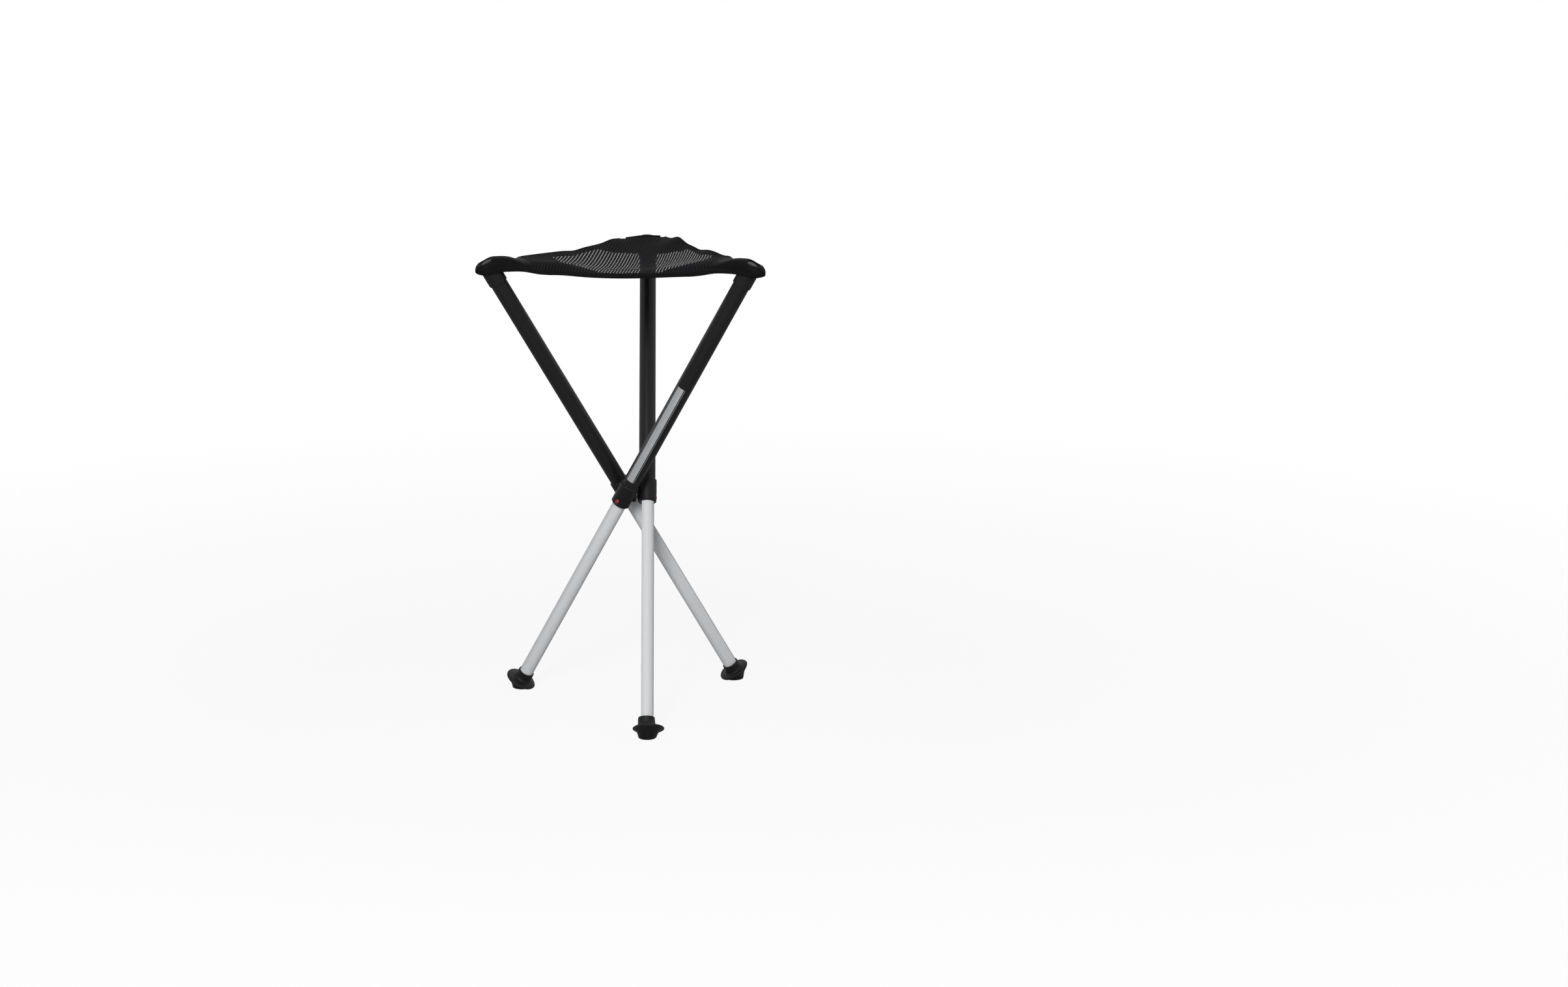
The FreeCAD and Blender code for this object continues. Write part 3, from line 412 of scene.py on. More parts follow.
def near_pocket(out):
    """Share of the pocket's shoulder height in the cloth's height: 0 at 165 mm, 1 at 205 mm, with
    a smooth step t * t * (3 - 2 t) between them, and that shoulder height."""
    share = np.clip((out - RISE_FROM) / RISE_OVER, 0, 1)
    return share * share * (3 - 2 * share), pocket_size(out, SHOULDER)


print("a pocket is", round(POCKET_NOSE - POCKET_TAIL, 1), "mm long")

# %% [markdown]
# ## Helpers for meshes
# Cloth, tape and feet are all grids of points. Blender could build them with operators and
# loops, but whole arrays are quicker and show the shape's formula. A flat piece is one grid. A
# ring piece has its last column joined to the first, and its ends closed.

# %% Helpers for meshes
MERGE_WITHIN, MOST_SIDES = 0.01, 400


def grid_mesh(name, points, closed_across=False, uv=None):
    """A grid of points, rows by columns, joined into four-sided faces as whole arrays. The last
    column joins the first when it is closed across."""
    rows, columns = points.shape[:2]
    index = np.arange(rows * columns).reshape(rows, columns)
    right = np.roll(index, -1, axis=1) if closed_across else index[:, 1:]
    left = index if closed_across else index[:, :-1]
    faces = np.stack([left[:-1], right[:-1], right[1:], left[1:]], axis=-1).reshape(-1, 4)
    mesh = bpy.data.meshes.new(name)
    mesh.vertices.add(rows * columns)
    mesh.vertices.foreach_set("co", (points.reshape(-1, 3) * MM).ravel())
    mesh.loops.add(faces.size)
    mesh.loops.foreach_set("vertex_index", faces.ravel())
    mesh.polygons.add(len(faces))
    mesh.polygons.foreach_set("loop_start", np.arange(0, faces.size, 4))
    mesh.polygons.foreach_set("use_smooth", np.ones(len(faces), bool))
    if uv is not None:
        layer = mesh.uv_layers.new(name="cloth")
        layer.data.foreach_set("uv", uv.reshape(-1, 2)[faces.ravel()].ravel())
    mesh.update(calc_edges=True)
    mesh.validate()
    return mesh


def tidy_mesh(mesh, close_ends=False):
    """Merge doubled points. A ring's open ends are closed and its faces turned outwards."""
    work = bmesh.new()
    work.from_mesh(mesh)
    bmesh.ops.remove_doubles(work, verts=work.verts, dist=MERGE_WITHIN * MM)
    if close_ends:
        bmesh.ops.holes_fill(work, edges=work.edges, sides=MOST_SIDES)
        bmesh.ops.recalc_face_normals(work, faces=work.faces)
    work.to_mesh(mesh)
    work.free()
    return mesh


def add_piece(name, mesh, material):
    """An object at the origin that holds the mesh."""
    piece = bpy.data.objects.new(name, mesh)
    bpy.context.collection.objects.link(piece)
    mesh.materials.append(material)
    return piece


def add_flat(name, points, uv, material):
    """A piece from an open grid, such as a net."""
    return add_piece(name, tidy_mesh(grid_mesh(name, points, uv=uv)), material)


def add_rings(name, points, uv, material):
    """A piece from closed rings, such as a tape or a foot."""
    mesh = tidy_mesh(grid_mesh(name, points, closed_across=True, uv=uv), close_ends=True)
    return add_piece(name, mesh, material)


print("a grid of 3 by 4 points makes", 2 * 3, "faces, and as a ring", 2 * 4)

# %% [markdown]
# ## Helpers for shapes
# Sewn and moulded forms have no sharp steps, and a section through them is between a circle and
# a box. Subdivision could soften a coarse mesh, but it would shrink it too. So a table's values
# are smoothed by a running average, and a ring's sine and cosine are raised to a power. Every
# cloth piece has its place baked into its mesh, so that has a helper as well.


def smoothed(values, weights):
    """Running average of a row of values by the given weights, with its end values repeated."""
    spread = np.pad(values, len(weights) // 2, mode="edge")
    return np.convolve(spread, np.array(weights) / sum(weights), "valid")


def full_turn(columns):
    """Angles once round a ring, evenly spaced."""
    return np.linspace(0, 2 * math.pi, columns, endpoint=False)


def squared(wave, power):
    """A sine or cosine to a power, with its sign kept: a power under 1 squares a ring's sides."""
    return np.sign(wave) * np.abs(wave) ** power


def follow_leg(piece):
    """Bake the piece's place into its mesh."""
    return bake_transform(piece)


print("a pocket's table, smoothed:", smoothed(POCKET[:, TOP], [1, 2, 1]).round(1))

# %% [markdown]
# ## Net finish
# The net is warp-knitted polyester: ribs run front to back with a row of small openings between
# them, and every second row is moved on by half an opening. Thousands of openings could be cut
# in the mesh, but that would be a heavy piece, so the shader cuts them. The pattern lies on
# the cloth's own flat map, in metres, so it stays put when the cloth bends. Matt yarn gives the
# eye a dull dark grey, which only the pale floor behind it lights up.

# %% Net finish
RIB_PITCH, HOLE_PITCH = 4.8, 4.4
HOLE_WIDE, HOLE_LONG = 0.25, 0.28
ROW_LEAN = math.radians(8.1)
RIB_RELIEF, RIB_STRENGTH = 0.5, 0.5


def knitted_net():
    """Black net. Across and along are distances on the cloth over the rib's and the hole's pitch,
    turned by the rows' lean. A point is open where the fractions of both are within half a hole
    of 0.5. Ribs swell as the cosine of across, and their crowns carry a painted highlight, a
    lighter colour in place of the sheen of light on them."""
    material, tree, output = surface_tree("knitted_polyester_net")
    flat = node(tree, "ShaderNodeUVMap", uv_map="cloth")
    rows = node(tree, "ShaderNodeMapping", {"Rotation": (0.0, 0.0, -ROW_LEAN)},
                {"Vector": flat.outputs["UV"]}, vector_type="TEXTURE")
    split = node(tree, "ShaderNodeSeparateXYZ", links={"Vector": rows.outputs["Vector"]})
    across = node(tree, "ShaderNodeMath", {1: 1 / (RIB_PITCH * MM)}, {0: split.outputs["X"]},
                  operation="MULTIPLY")
    along = node(tree, "ShaderNodeMath", {1: 1 / (HOLE_PITCH * MM)}, {0: split.outputs["Y"]},
                 operation="MULTIPLY")
    row = node(tree, "ShaderNodeMath", links={0: across.outputs[0]}, operation="FLOOR")
    stagger = node(tree, "ShaderNodeMath", {1: 0.5}, {0: row.outputs[0]}, operation="MULTIPLY")
    shifted = node(tree, "ShaderNodeMath", links={0: along.outputs[0], 1: stagger.outputs[0]},
                   operation="ADD")
    side = node(tree, "ShaderNodeMath", links={0: across.outputs[0]}, operation="FRACT")
    step = node(tree, "ShaderNodeMath", links={0: shifted.outputs[0]}, operation="FRACT")
    in_side = node(tree, "ShaderNodeMath", {1: 0.5, 2: HOLE_WIDE / 2}, {0: side.outputs[0]},
                   operation="COMPARE")
    in_step = node(tree, "ShaderNodeMath", {1: 0.5, 2: HOLE_LONG / 2}, {0: step.outputs[0]},
                   operation="COMPARE")
    opening = node(tree, "ShaderNodeMath", links={0: in_side.outputs[0], 1: in_step.outputs[0]},
                   operation="MULTIPLY")
    swell = node(tree, "ShaderNodeMath", {1: 2 * math.pi}, {0: across.outputs[0]},
                 operation="MULTIPLY")
    rib = node(tree, "ShaderNodeMath", links={0: swell.outputs[0]}, operation="COSINE")
    bump = node(tree, "ShaderNodeBump", {"Strength": RIB_STRENGTH, "Distance": RIB_RELIEF * MM},
                {"Height": rib.outputs[0]})
    # Painted highlight: the ribs' crowns get a lighter colour where light would catch them.
    crown_highlight = node(tree, "ShaderNodeMapRange", {"From Min": -1.0, "From Max": 1.0},
                {"Value": rib.outputs[0]})
    colour = node(tree, "ShaderNodeMix", {MIX_A: hex_colour("#0f0f10"), MIX_B: hex_colour("#1d1d1f")},
                  {"Factor": crown_highlight.outputs["Result"]}, data_type="RGBA")
    yarn = node(tree, "ShaderNodeBsdfPrincipled", {"Roughness": 0.8, "Specular IOR Level": 0.03},
                {"Base Color": colour.outputs[MIX_RESULT], "Normal": bump.outputs["Normal"]})
    clear = node(tree, "ShaderNodeBsdfTransparent")
    mix = node(tree, "ShaderNodeMixShader",
               links={0: opening.outputs[0], 1: yarn.outputs[0], 2: clear.outputs[0]})
    tree.links.new(mix.outputs[0], output.inputs["Surface"])
    return material


net_finish = knitted_net()
print(f"openings {HOLE_WIDE * RIB_PITCH:.2f} by {HOLE_LONG * HOLE_PITCH:.2f} mm")

# %% [markdown]
# ## Woven finishes
# Pockets and linings are close-woven nylon, and the edge tape is a ribbed weave. Threads could
# be laid one by one, but two sets of waves at right angles give the same play of light. Real
# threads are about a third of a millimetre: these are as coarse as they need to be to show.
# Black nylon with no coating looks dull and deep, with hardly any highlight.

# %% Woven finishes
CREASE, CREASE_UNEVEN, THREAD_RELIEF = 9, 0.08, 0.15


def woven_cloth(name, colour, thread, depth, roughness):
    """Close-woven nylon: the relief is the product of two sines on the cloth's flat map, each
    with a period of two threads, and a soft noise varies the roughness."""
    material, tree, output = surface_tree(name)
    flat = node(tree, "ShaderNodeUVMap", uv_map="cloth")
    split = node(tree, "ShaderNodeSeparateXYZ", links={"Vector": flat.outputs["UV"]})
    waves = []
    for axis in ("X", "Y"):
        turns = node(tree, "ShaderNodeMath", {1: math.pi / (thread * MM)},
                     {0: split.outputs[axis]}, operation="MULTIPLY")
        waves.append(node(tree, "ShaderNodeMath", links={0: turns.outputs[0]}, operation="SINE"))
    weave = node(tree, "ShaderNodeMath", links={0: waves[0].outputs[0], 1: waves[1].outputs[0]},
                 operation="MULTIPLY")
    place = node(tree, "ShaderNodeTexCoord")
    soft = node(tree, "ShaderNodeTexNoise", {"Scale": 1 / (CREASE * MM), "Detail": 3.0},
                {"Vector": place.outputs["Object"]})
    rough = node(tree, "ShaderNodeMapRange", {"To Min": roughness - CREASE_UNEVEN,
                                              "To Max": roughness + CREASE_UNEVEN},
                 {"Value": soft.outputs["Fac"]})
    bump = node(tree, "ShaderNodeBump", {"Strength": depth, "Distance": THREAD_RELIEF * MM},
                {"Height": weave.outputs[0]})
    shader = node(tree, "ShaderNodeBsdfPrincipled",
                  {"Base Color": hex_colour(colour), "Specular IOR Level": 0.05},
                  {"Roughness": rough.outputs["Result"], "Normal": bump.outputs["Normal"]})
    tree.links.new(shader.outputs["BSDF"], output.inputs["Surface"])
    return material


corner_cloth = woven_cloth("close_woven_nylon", "#0a0a0b", 0.9, 0.3, 0.65)
lining_cloth = woven_cloth("lining_nylon", "#070707", 0.9, 0.2, 0.8)
tape_cloth = woven_cloth("ribbed_edge_tape", "#0b0b0c", 1.2, 0.5, 0.65)
print("finishes now:", len(bpy.data.materials))

# %% [markdown]
# ## Net and corner linings
# The net is one cloth, and under each corner a closed lining stiffens it. It is made in three
# sectors, one to a leg. A sector is rows of points across its corner's direction, and the
# sectors meet where the cloth doesn't move. A lining is a shorter sector, just under the net,
# with its own border.

# %% Net and corner linings
NET_END, NET_INSET, NET_GRID = 206.0, 1.4, (104, 81)
LINING_INSET, LINING_DROP, LINING_GRID = 1.8, 1.6, (60, 41)
SHOULDER_DROP = 0.8
NET_BORDER = [(-1, 0), (1, 0)]
LINING_BORDER = {
    # share of the half width across the corner's direction, distance from the middle in mm
    "a": [(-1, 104), (-0.62, 118), (-0.13, 128), (0.38, 134), (1, 138)],
    "b": [(-1, 44), (-0.61, 61), (-0.43, 77), (-0.04, 94), (0.32, 94), (0.6, 87), (1, 86)],
    "c": [(-1, 122), (-0.71, 114), (-0.14, 107), (0.39, 100), (0.77, 86), (1, 76)],
}


def sector(letter, border, grid, drop=0.0, inset=NET_INSET):
    """Grid across one corner's direction: rows run from the border out to the net's end, and
    columns run from one edge to the other. The border's distance is given for shares of the half
    width, with straight steps between them. Height comes from the seat's own function."""
    rows, columns = grid
    side = np.linspace(-1, 1, columns)[None, :]
    start = np.interp(side, *zip(*border))
    out = start + (NET_END - start) * np.linspace(0, 1, rows)[:, None]
    width = np.maximum(edge_half(out) - np.where(out < EDGE_MIDDLE / 2, 0.0, inset), 0.0)
    x, y = in_plan(letter, out, side * width)
    share, shoulder = near_pocket(out)
    z = seat_height(x, y) * (1 - share) + (shoulder - SHOULDER_DROP) * share - drop
    return np.stack([x, y, z], axis=-1), np.stack([x, y], axis=-1) * MM


for letter in "abc":
    points, flat = sector(letter, NET_BORDER, NET_GRID)
    net = add_flat(f"seat_net_{letter}", points, flat, net_finish)
    follow_leg(net)
    points, flat = sector(letter, LINING_BORDER[letter], LINING_GRID, LINING_DROP, LINING_INSET)
    lining = add_flat(f"corner_lining_{letter}", points, flat, lining_cloth)
    follow_leg(lining)
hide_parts("seat_mesh")

# %% [markdown]
# ## Corner pockets
# A pocket is thick cloth sewn over the leg's cap: a rounded nose, a domed back that runs out
# on the net, a low side wall, and a dimple where the rivet pulls it down. A box could be
# sculpted into it, but rings across the corner's direction read straight from its table.

# %% Corner pockets
SIDE_POWER, BACK_POWER, WALL_POWER = 0.8, 0.9, 0.35
NOSE_CROWDING, NOSE_FROM = 1.35, 237.0
SETTLE_FROM, SETTLE_OVER, SETTLE_POWER = 208.0, 30.0, 1.5
SKIN_OVER, SKIN_UNDER = 0.9, -2.6
RIVET_ALONG, DIMPLE_DEPTH, DIMPLE_RADIUS, DIMPLE_EDGE = 460.0, 1.0, 11.5, 1.1
RING_STEP = 1.6
SEWN = {
    # how much longer each pocket's nose is in mm, and its back's height as a share of the table's
    "a": (3.6, 1.0), "b": (0.0, 0.83), "c": (0.0, 1.0),
}


def draw_dimple(points, letter, is_back):
    """Points on the pocket's back that stand over the rivet's seat come down to it. The pull is
    1 / (1 + exp((distance from the rivet - radius) / edge)), so the dimple has a soft rim."""
    hinge, _, _, axis = leg_axes(letter)
    from_rivet = points - (hinge + RIVET_ALONG * axis)
    height = from_rivet @ axis
    radial = np.linalg.norm(from_rivet - height[..., None] * axis, axis=-1)
    pull = np.where(is_back, 1.0, 0.0) / (1 + np.exp((radial - DIMPLE_RADIUS) / DIMPLE_EDGE))
    return points - (np.maximum(height + DIMPLE_DEPTH, 0.0) * pull)[..., None] * axis


def pocket_points(letter, rows=90, columns=64):
    """Closed rings across the corner's direction, closer together near the nose. Over the
    shoulder a ring rises to the top as (sine) to the power 0.9, nearly half an ellipse; under it
    the power is 0.35, a steep wall with a rounded foot. Near the net the ring settles on the
    cloth. Past the cap the nose is stretched by its own small length."""
    out = POCKET_NOSE - (POCKET_NOSE - POCKET_TAIL) * np.linspace(0, 1, rows) ** NOSE_CROWDING
    wide, shoulder, top, bottom = [
        smoothed(pocket_size(out, column), [1, 2, 3, 2, 1])[:, None]
        for column in (HALF_WIDTH, SHOULDER, TOP, BOTTOM)]
    nose_more, back_share = SEWN[letter]
    turn = full_turn(columns)[None, :]
    is_back = np.sin(turn) >= 0
    rise = np.abs(np.sin(turn))
    upper = shoulder + back_share * (top - shoulder) * rise ** BACK_POWER
    lower = shoulder - (shoulder - bottom) * rise ** WALL_POWER
    reach = out + nose_more * np.clip((out - NOSE_FROM) / (POCKET_NOSE - NOSE_FROM), 0, 1)
    x, y = in_plan(letter, reach[:, None], squared(np.cos(turn), SIDE_POWER) * wide)
    settle = np.clip((SETTLE_FROM - out[:, None]) / SETTLE_OVER, 0, 1) ** SETTLE_POWER
    cloth = seat_height(x, y) + np.where(is_back, SKIN_OVER, SKIN_UNDER)
    z = np.where(is_back, upper, lower) * (1 - settle) + cloth * settle
    points = draw_dimple(np.stack([x, y, z], axis=-1), letter, is_back)
    round_ring = RING_STEP * np.arange(1, columns + 1)[None, :]
    flat = np.stack(np.broadcast_arrays(out[:, None], round_ring), axis=-1) * MM
    return points, flat


for letter in "abc":
    points, flat = pocket_points(letter)
    pocket = add_rings(f"pocket_{letter}", points, flat, corner_cloth)
    follow_leg(pocket)
    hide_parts(f"corner_pocket_{letter}", f"corner_patch_{letter}")
    print(f"pocket {letter}: top at {points[..., 2].max():.1f} mm")

# %% [markdown]
# ## Edge tape
# A folded tape binds each edge of the net and runs on along the pocket's side. A bevelled curve
# could draw it, but its section would twist where the edge bends, so its section, a flat loop,
# is carried along the edge and kept upright. Half an edge is one piece, beside its own leg.

# %% Edge tape
TAPE_HEIGHT, TAPE_THICKNESS, TAPE_GIRTH = 8.4, 2.4, 22.0
THICK_POWER, TALL_POWER = 0.6, 0.45
TAPE_ON_NET, TAPE_ON_POCKET, POCKET_ROWS = (54.0, 212.0), (214.0, 250.0), 30
TAPE_OVER_NET, TAPE_OVER_SHOULDER = 0.9, 0.2


def tape_points(letter, side, rows=110, columns=20):
    """A rounded oblong ring carried along half an edge. The path runs at edge_half from the
    corner's direction, so past 206 mm it follows the pocket's side. The ring's thickness lies
    square to the path in plan, and its height is upright."""
    out = np.concatenate([np.linspace(*TAPE_ON_NET, rows - POCKET_ROWS),
                          np.linspace(*TAPE_ON_POCKET, POCKET_ROWS)])
    x, y = in_plan(letter, out, side * edge_half(out))
    share, shoulder = near_pocket(out)
    top = ((seat_height(x, y) + TAPE_OVER_NET) * (1 - share)
           + (shoulder + TAPE_OVER_SHOULDER) * share)
    path = np.stack([x, y, top - TAPE_HEIGHT / 2], axis=-1)
    ahead = np.gradient(path, axis=0)
    ahead[:, 2] = 0
    ahead /= np.linalg.norm(ahead, axis=1, keepdims=True)
    across = np.cross(ahead, (0, 0, 1))
    turn = full_turn(columns)[None, :, None]
    thick = squared(np.cos(turn), THICK_POWER) * TAPE_THICKNESS / 2
    tall = squared(np.sin(turn), TALL_POWER) * TAPE_HEIGHT / 2
    points = path[:, None, :] + across[:, None, :] * thick + np.array([0, 0, 1]) * tall
    run = np.concatenate([[0], np.cumsum(np.linalg.norm(np.diff(path, axis=0), axis=1))])
    round_ring = np.linspace(0, TAPE_GIRTH, columns)[None, :]
    flat = np.stack(np.broadcast_arrays(run[:, None], round_ring), axis=-1) * MM
    return points, flat


for letter in "abc":
    for side, word in ((1, "left"), (-1, "right")):
        points, flat = tape_points(letter, side)
        tape = add_rings(f"edge_tape_{letter}_{word}", points, flat, tape_cloth)
        follow_leg(tape)
        print(f"tape {letter} {word}: {flat[-1, 0, 0] / MM:.0f} mm")
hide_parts("edge_binding_front", "edge_binding_right", "edge_binding_left")

# %% [markdown]
# ## Rubber feet
# A foot is one moulding: a collar round the tube that sweeps out into a hat's brim, and under
# the brim a pad that stands level on the floor. The ready-made foot has its sizes but hard
# edges. Rounding those afterwards would be hard, because the collar leans and the sole doesn't,
# so rings of points, square to the tube at the top and level at the sole, give the soft form.

# %% Rubber feet
FOOT_RINGS = np.array([
    # along the tube above the brim, share of the way down the pad, share off the axis, radius
    (14.0, 0.0, 0.0, 11.4),
    (17.5, 0.0, 0.0, 11.7),
    (18.4, 0.0, 0.0, 12.4),
    (17.9, 0.0, 0.0, 13.3),
    (14.0, 0.0, 0.0, 13.5),
    (8.0, 0.0, 0.1, 13.9),
    (4.4, 0.0, 0.3, 15.0),
    (3.5, 0.0, 0.6, 17.5),
    (2.9, 0.0, 0.9, 21.0),
    (2.2, 0.0, 1.0, 24.2),
    (0.9, 0.0, 1.0, 25.8),
    (-0.9, 0.0, 1.0, 25.7),
    (-2.3, 0.0, 1.0, 24.0),
    (-2.9, 0.04, 1.0, 21.2),
    (-3.2, 0.14, 1.0, 18.8),
    (-3.2, 0.30, 1.0, 17.4),
    (-2.0, 0.55, 1.0, 16.2),
    (0.0, 0.85, 1.0, 15.0),
    (0.0, 0.97, 1.0, 14.4),
    (0.0, 1.0, 1.0, 13.4),
    (0.0, 1.0, 1.0, 7.0),
    (0.0, 1.0, 1.0, 0.0),
])
BRIM_ALONG, BRIM_OFFSET = -396.3, np.array([2.6, -0.65])
BRIM_FLAT, FLAT_SIDES, FLAT_POWER = 21.1, (math.radians(150), math.radians(210)), 16
SOLE_OFFSET, SOLE_STRETCH = 1.3, 0.08
GROOVES, GROOVE_DEPTH, GROOVE_HALF = (-4.5, 4.5), 1.8, 1.0
GROOVE_FROM, FADE_IN, GROOVE_TO, FADE_OUT = 0.12, 0.1, 0.99, 0.04


def flattened(radius, turn, off):
    """A ring's radius with two soft flats on the hub's side, which keep folded feet apart:
    (radius ** -16 + (flat / cos) ** -16) ** (-1 / 16), where cos is of the angle to the flat. The
    two least values only keep it from dividing by nothing."""
    for side in FLAT_SIDES:
        toward = np.array([math.cos(side), math.sin(side)])
        flat = BRIM_FLAT - off * (BRIM_OFFSET @ toward)
        limit = flat / np.maximum(np.cos(turn - side), 0.05)
        radius = (np.maximum(radius, 1e-3) ** -FLAT_POWER
                  + limit ** -FLAT_POWER) ** (-1 / FLAT_POWER)
    return radius


def foot_points(letter, steps=5, columns=120):
    """Rings from the collar's mouth to the middle of the sole. A ring's plane turns from square
    to the tube, at the brim, to level, at the sole: its lateral direction is the unit vector of
    (1 - share) times lateral plus share times sideways. Two grooves in the pad's front are
    bell curves to the fourth power."""
    origin, outward, lateral, axis = leg_axes(letter)
    sideways = np.cross((0.0, 0.0, 1.0), outward)
    rings = np.arange(len(FOOT_RINGS))
    fine = np.linspace(0, rings[-1], rings[-1] * steps + 1)
    above, down, off, radius = [
        smoothed(np.interp(fine, rings, values), [1, 2, 3, 4, 3, 2, 1])[:, None]
        for values in FOOT_RINGS.T]
    offset = BRIM_OFFSET[0] * outward + BRIM_OFFSET[1] * lateral
    brim = origin + (BRIM_ALONG + above) * axis + off * offset
    brim_middle = origin + BRIM_ALONG * axis + offset
    sole = (HINGE_RADIUS + SOLE_OFFSET) * outward + (brim_middle @ sideways) * sideways
    centre = brim * (1 - down) + sole * down
    second = lateral * (1 - down) + sideways * down
    second /= np.linalg.norm(second, axis=1, keepdims=True)
    turn = full_turn(columns)[None, :]
    reach = flattened(radius * np.ones_like(turn), turn, off)
    x = reach * np.cos(turn)
    y = reach * np.sin(turn) * (1 + SOLE_STRETCH * down)
    pad = (np.clip((down - GROOVE_FROM) / FADE_IN, 0, 1)
           * np.clip((GROOVE_TO - down) / FADE_OUT, 0, 1))
    for groove in GROOVES:
        curve = np.exp(-((x - groove) / GROOVE_HALF) ** 4)
        y = y + np.where(y < 0, GROOVE_DEPTH, 0.0) * pad * curve
    points = centre[:, None, :] + x[..., None] * outward + y[..., None] * second[:, None, :]
    points[..., 2] = np.maximum(points[..., 2], 0.0)
    return points


for letter in "abc":
    foot = add_rings(f"moulded_foot_{letter}", foot_points(letter), None, foot_rubber)
    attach(foot, f"lower_leg_{letter}")
    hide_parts(f"rubber_foot_{letter}")
print("a foot has", len(foot.data.polygons), "faces")

# %% [markdown]
# ## Foil strip
# A bare silver foil strip is stuck along the outer side of one upper tube, with a thin dark
# border. A flat strip could be bent round the tube with a modifier, but a patch of a cylinder
# just outside the tube is exact. Foil is a satin metal: it shows a broad pale sheen and no
# clear reflections.

# %% Foil strip
FOIL_WIDTH, FOIL_SILVER, FOIL_RIM = 15.6, 11.6, 0.5
FOIL_LOW, FOIL_HIGH = 34.0, 222.0
FOIL_RADIUS, FOIL_TURN = 13.58, math.radians(5.0)
FOIL_CLOUD, FOIL_SMOOTHEST, FOIL_ROUGHEST = 6, 0.3, 0.42


def foil():
    """Silver foil: dark where the distance from the middle line is past the silver's half width,
    and bright again in a fine line along the edge."""
    material, tree, output = surface_tree("silver_foil")
    flat = node(tree, "ShaderNodeUVMap", uv_map="cloth")
    split = node(tree, "ShaderNodeSeparateXYZ", links={"Vector": flat.outputs["UV"]})
    side = node(tree, "ShaderNodeMath", links={0: split.outputs["X"]}, operation="ABSOLUTE")
    outside = node(tree, "ShaderNodeMath", {1: FOIL_SILVER / 2 * MM}, {0: side.outputs[0]},
                   operation="GREATER_THAN")
    inside = node(tree, "ShaderNodeMath", {1: (FOIL_WIDTH / 2 - FOIL_RIM) * MM},
                  {0: side.outputs[0]}, operation="LESS_THAN")
    dark = node(tree, "ShaderNodeMath", links={0: outside.outputs[0], 1: inside.outputs[0]},
                operation="MULTIPLY")
    colour = node(tree, "ShaderNodeMix", {MIX_A: hex_colour("#b9babc"), MIX_B: hex_colour("#1a1a1b")},
                  {"Factor": dark.outputs[0]}, data_type="RGBA")
    place = node(tree, "ShaderNodeTexCoord")
    cloud = node(tree, "ShaderNodeTexNoise", {"Scale": 1 / (FOIL_CLOUD * MM), "Detail": 3.0},
                 {"Vector": place.outputs["Object"]})
    rough = node(tree, "ShaderNodeMapRange", {"To Min": FOIL_SMOOTHEST, "To Max": FOIL_ROUGHEST},
                 {"Value": cloud.outputs["Fac"]})
    shader = node(tree, "ShaderNodeBsdfPrincipled", {"Metallic": 0.9},
                  {"Base Color": colour.outputs[MIX_RESULT], "Roughness": rough.outputs["Result"]})
    tree.links.new(shader.outputs["BSDF"], output.inputs["Surface"])
    return material


def foil_points(letter, rows=60, columns=24):
    """Patch of a cylinder about the tube's axis: width over radius gives the angle, and the
    strip's middle is turned a little away from the outer side."""
    along = np.linspace(FOIL_LOW, FOIL_HIGH, rows)[:, None]
    width = np.linspace(-FOIL_WIDTH / 2, FOIL_WIDTH / 2, columns)[None, :]
    angle = (FOIL_TURN + width / FOIL_RADIUS)[..., None]
    origin, outward, lateral, axis = leg_axes(letter)
    points = (origin + along[..., None] * axis
              + FOIL_RADIUS * (np.cos(angle) * outward + np.sin(angle) * lateral))
    flat = np.stack(np.broadcast_arrays(width, along), axis=-1) * MM
    return points, flat


points, flat = foil_points("a")
foil_strip = add_flat("foil_strip", points, flat, foil())
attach(foil_strip, "leg_a")
print(f"foil strip {FOIL_WIDTH} by {FOIL_HIGH - FOIL_LOW} mm")

# %% [markdown]
# ## Floor
# The stool stands on a pale floor that fades into a white background. More light could bleach
# the floor, but it would bleach the stool too. So the camera sees the floor mostly as plain
# white, more so with distance, and the rest is matt paint that keeps the shadow.

# %% Floor
FLOOR_HALF = 20
FADE_NEAR, FADE_FAR, WHITE_NEAR, WHITE_FAR = 0.6, 2.6, 0.9, 1.0


def floor_finish():
    """Pale matt paint, mixed with plain white for the camera alone. White's share grows evenly
    with the distance from the middle, in metres."""
    material, tree, output = surface_tree("pale_floor")
    paint = node(tree, "ShaderNodeBsdfDiffuse", {"Color": hex_colour("#d0d0d0")})
    glow = node(tree, "ShaderNodeEmission", {"Color": WHITE, "Strength": 1.0})
    path = node(tree, "ShaderNodeLightPath")
    place = node(tree, "ShaderNodeTexCoord")
    away = node(tree, "ShaderNodeVectorMath", links={0: place.outputs["Object"]},
                operation="LENGTH")
    fade = node(tree, "ShaderNodeMapRange", {"From Min": FADE_NEAR, "From Max": FADE_FAR,
                                             "To Min": WHITE_NEAR, "To Max": WHITE_FAR},
                {"Value": away.outputs["Value"]})
    seen = node(tree, "ShaderNodeMath", operation="MULTIPLY",
                links={0: path.outputs["Is Camera Ray"], 1: fade.outputs["Result"]})
    mix = node(tree, "ShaderNodeMixShader",
               links={0: seen.outputs[0], 1: paint.outputs[0], 2: glow.outputs[0]})
    tree.links.new(mix.outputs[0], output.inputs["Surface"])
    return material


floor_mesh = bpy.data.meshes.new("floor")
floor_corners = FLOOR_HALF * np.array([(-1, -1, 0), (1, -1, 0), (1, 1, 0), (-1, 1, 0)])
floor_mesh.from_pydata(floor_corners.tolist(), [], [(0, 1, 2, 3)])
floor = add_piece("floor", floor_mesh, floor_finish())
print("floor", 2 * FLOOR_HALF, "m wide")

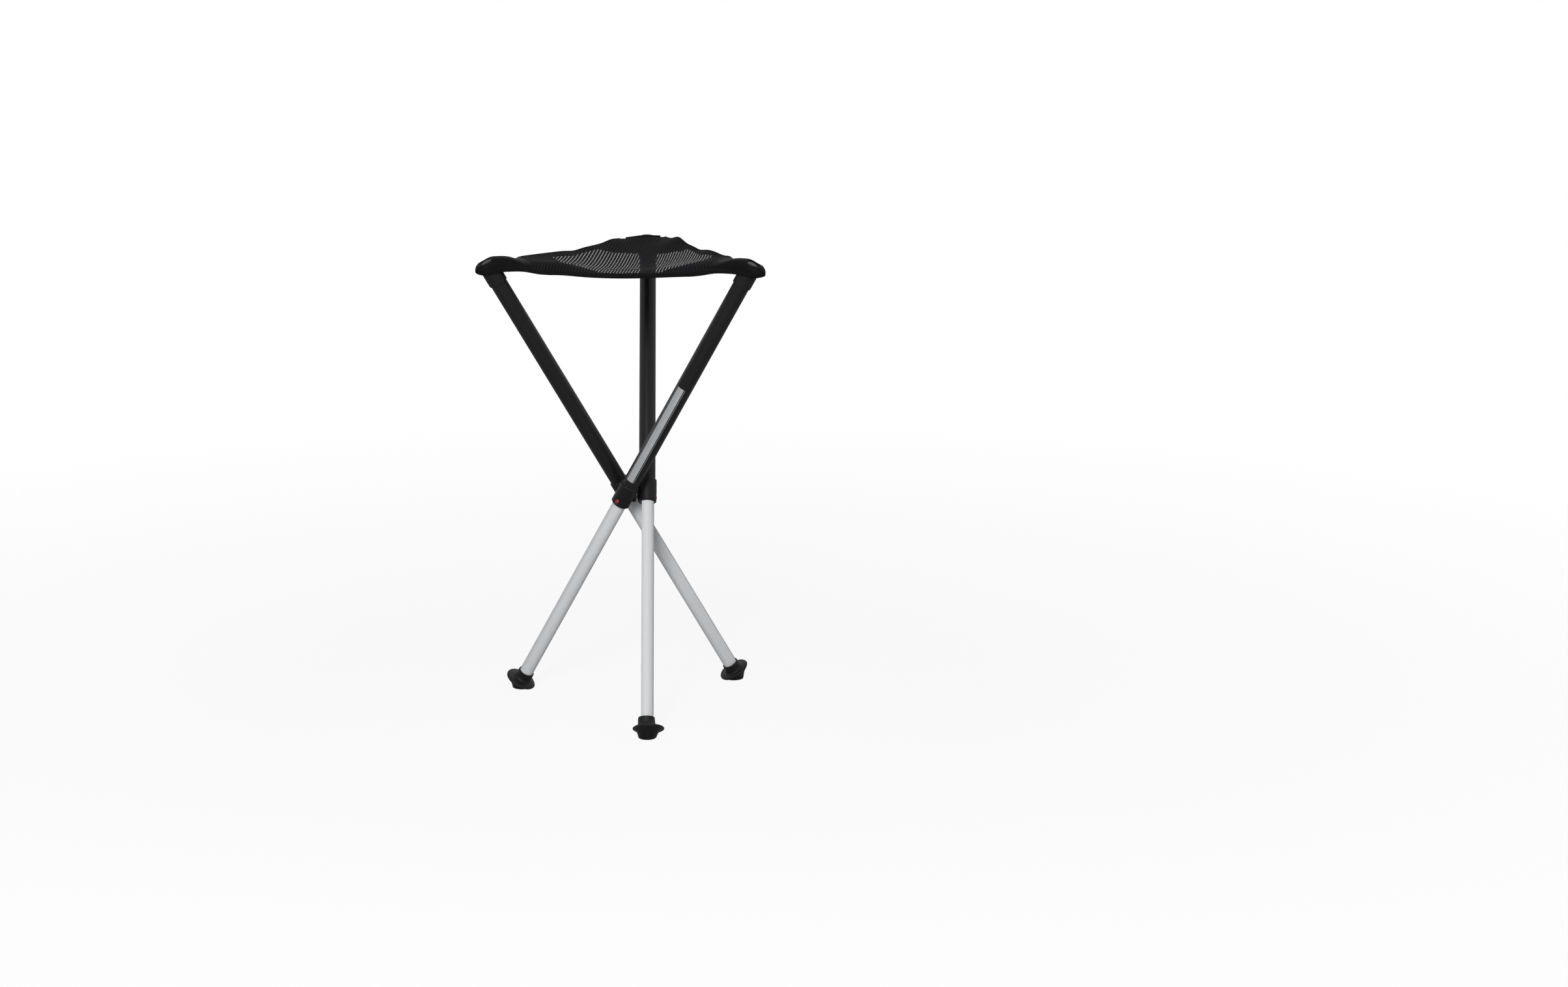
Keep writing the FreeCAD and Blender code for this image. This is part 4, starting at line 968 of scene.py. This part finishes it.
# %% [markdown]
# ## World
# In a studio the lamps give the light, but everything around the stool is pale. A white world
# could give both, but it would light the black pieces grey. So camera, glossy and transmission
# rays see it as white, while it lights the stool only faintly.

# %% World
WORLD_LIGHT, WORLD_SEEN = 0.2, 1.0
world = bpy.data.worlds.new("studio")
bpy.context.scene.world = world
world.use_nodes = True
tree = world.node_tree
tree.nodes.clear()
path = node(tree, "ShaderNodeLightPath")
seen = node(tree, "ShaderNodeMath", operation="MAXIMUM",
            links={0: path.outputs["Is Camera Ray"], 1: path.outputs["Is Glossy Ray"]})
seen = node(tree, "ShaderNodeMath", operation="MAXIMUM",
            links={0: seen.outputs[0], 1: path.outputs["Is Transmission Ray"]})
strength = node(tree, "ShaderNodeMapRange", {"To Min": WORLD_LIGHT, "To Max": WORLD_SEEN},
                {"Value": seen.outputs[0]})
background = node(tree, "ShaderNodeBackground", {"Color": WHITE},
                  {"Strength": strength.outputs["Result"]})
world_output = tree.nodes.new("ShaderNodeOutputWorld")
tree.links.new(background.outputs[0], world_output.inputs["Surface"])
bpy.context.scene.view_settings.view_transform = "Standard"
print("world lights at", WORLD_LIGHT, "and shows at", WORLD_SEEN)

# %% [markdown]
# ## Lamps
# The photograph has the even light of a studio: a large lamp in front, and soft highlights down
# the tubes. A sun would give hard shadows, so square area lamps stand in for soft boxes, one
# strong in front, a weak one at the right and another behind.

# %% Lamps
LAMPS = [
    # name, place, the point that it faces, side in metres, power in watts
    ("key_lamp", (-0.5, -3.2, 2.2), (0, 0, 0.4), 1.0, 125),
    ("fill_lamp", (2.4, -2.0, 1.6), (0, 0, 0.4), 1.6, 9),
    ("back_lamp", (0.6, 2.6, 2.4), (0, 0, 0.5), 1.6, 7),
]


def soft_lamp(name, place, target, size, power):
    """Square area lamp. It faces the target: its lean is the angle from straight down, and its
    turn is the direction away from the target in plan, plus a quarter turn."""
    lamp = bpy.data.lights.new(name, "AREA")
    lamp.size = size
    lamp.energy = power
    holder = bpy.data.objects.new(name, lamp)
    bpy.context.collection.objects.link(holder)
    holder.location = place
    away = np.array(place, float) - np.array(target, float)
    holder.rotation_euler = (math.atan2(math.hypot(away[0], away[1]), away[2]), 0.0,
                             math.atan2(away[1], away[0]) + math.pi / 2)
    return holder


for lamp_values in LAMPS:
    print("lamp", soft_lamp(*lamp_values).name)
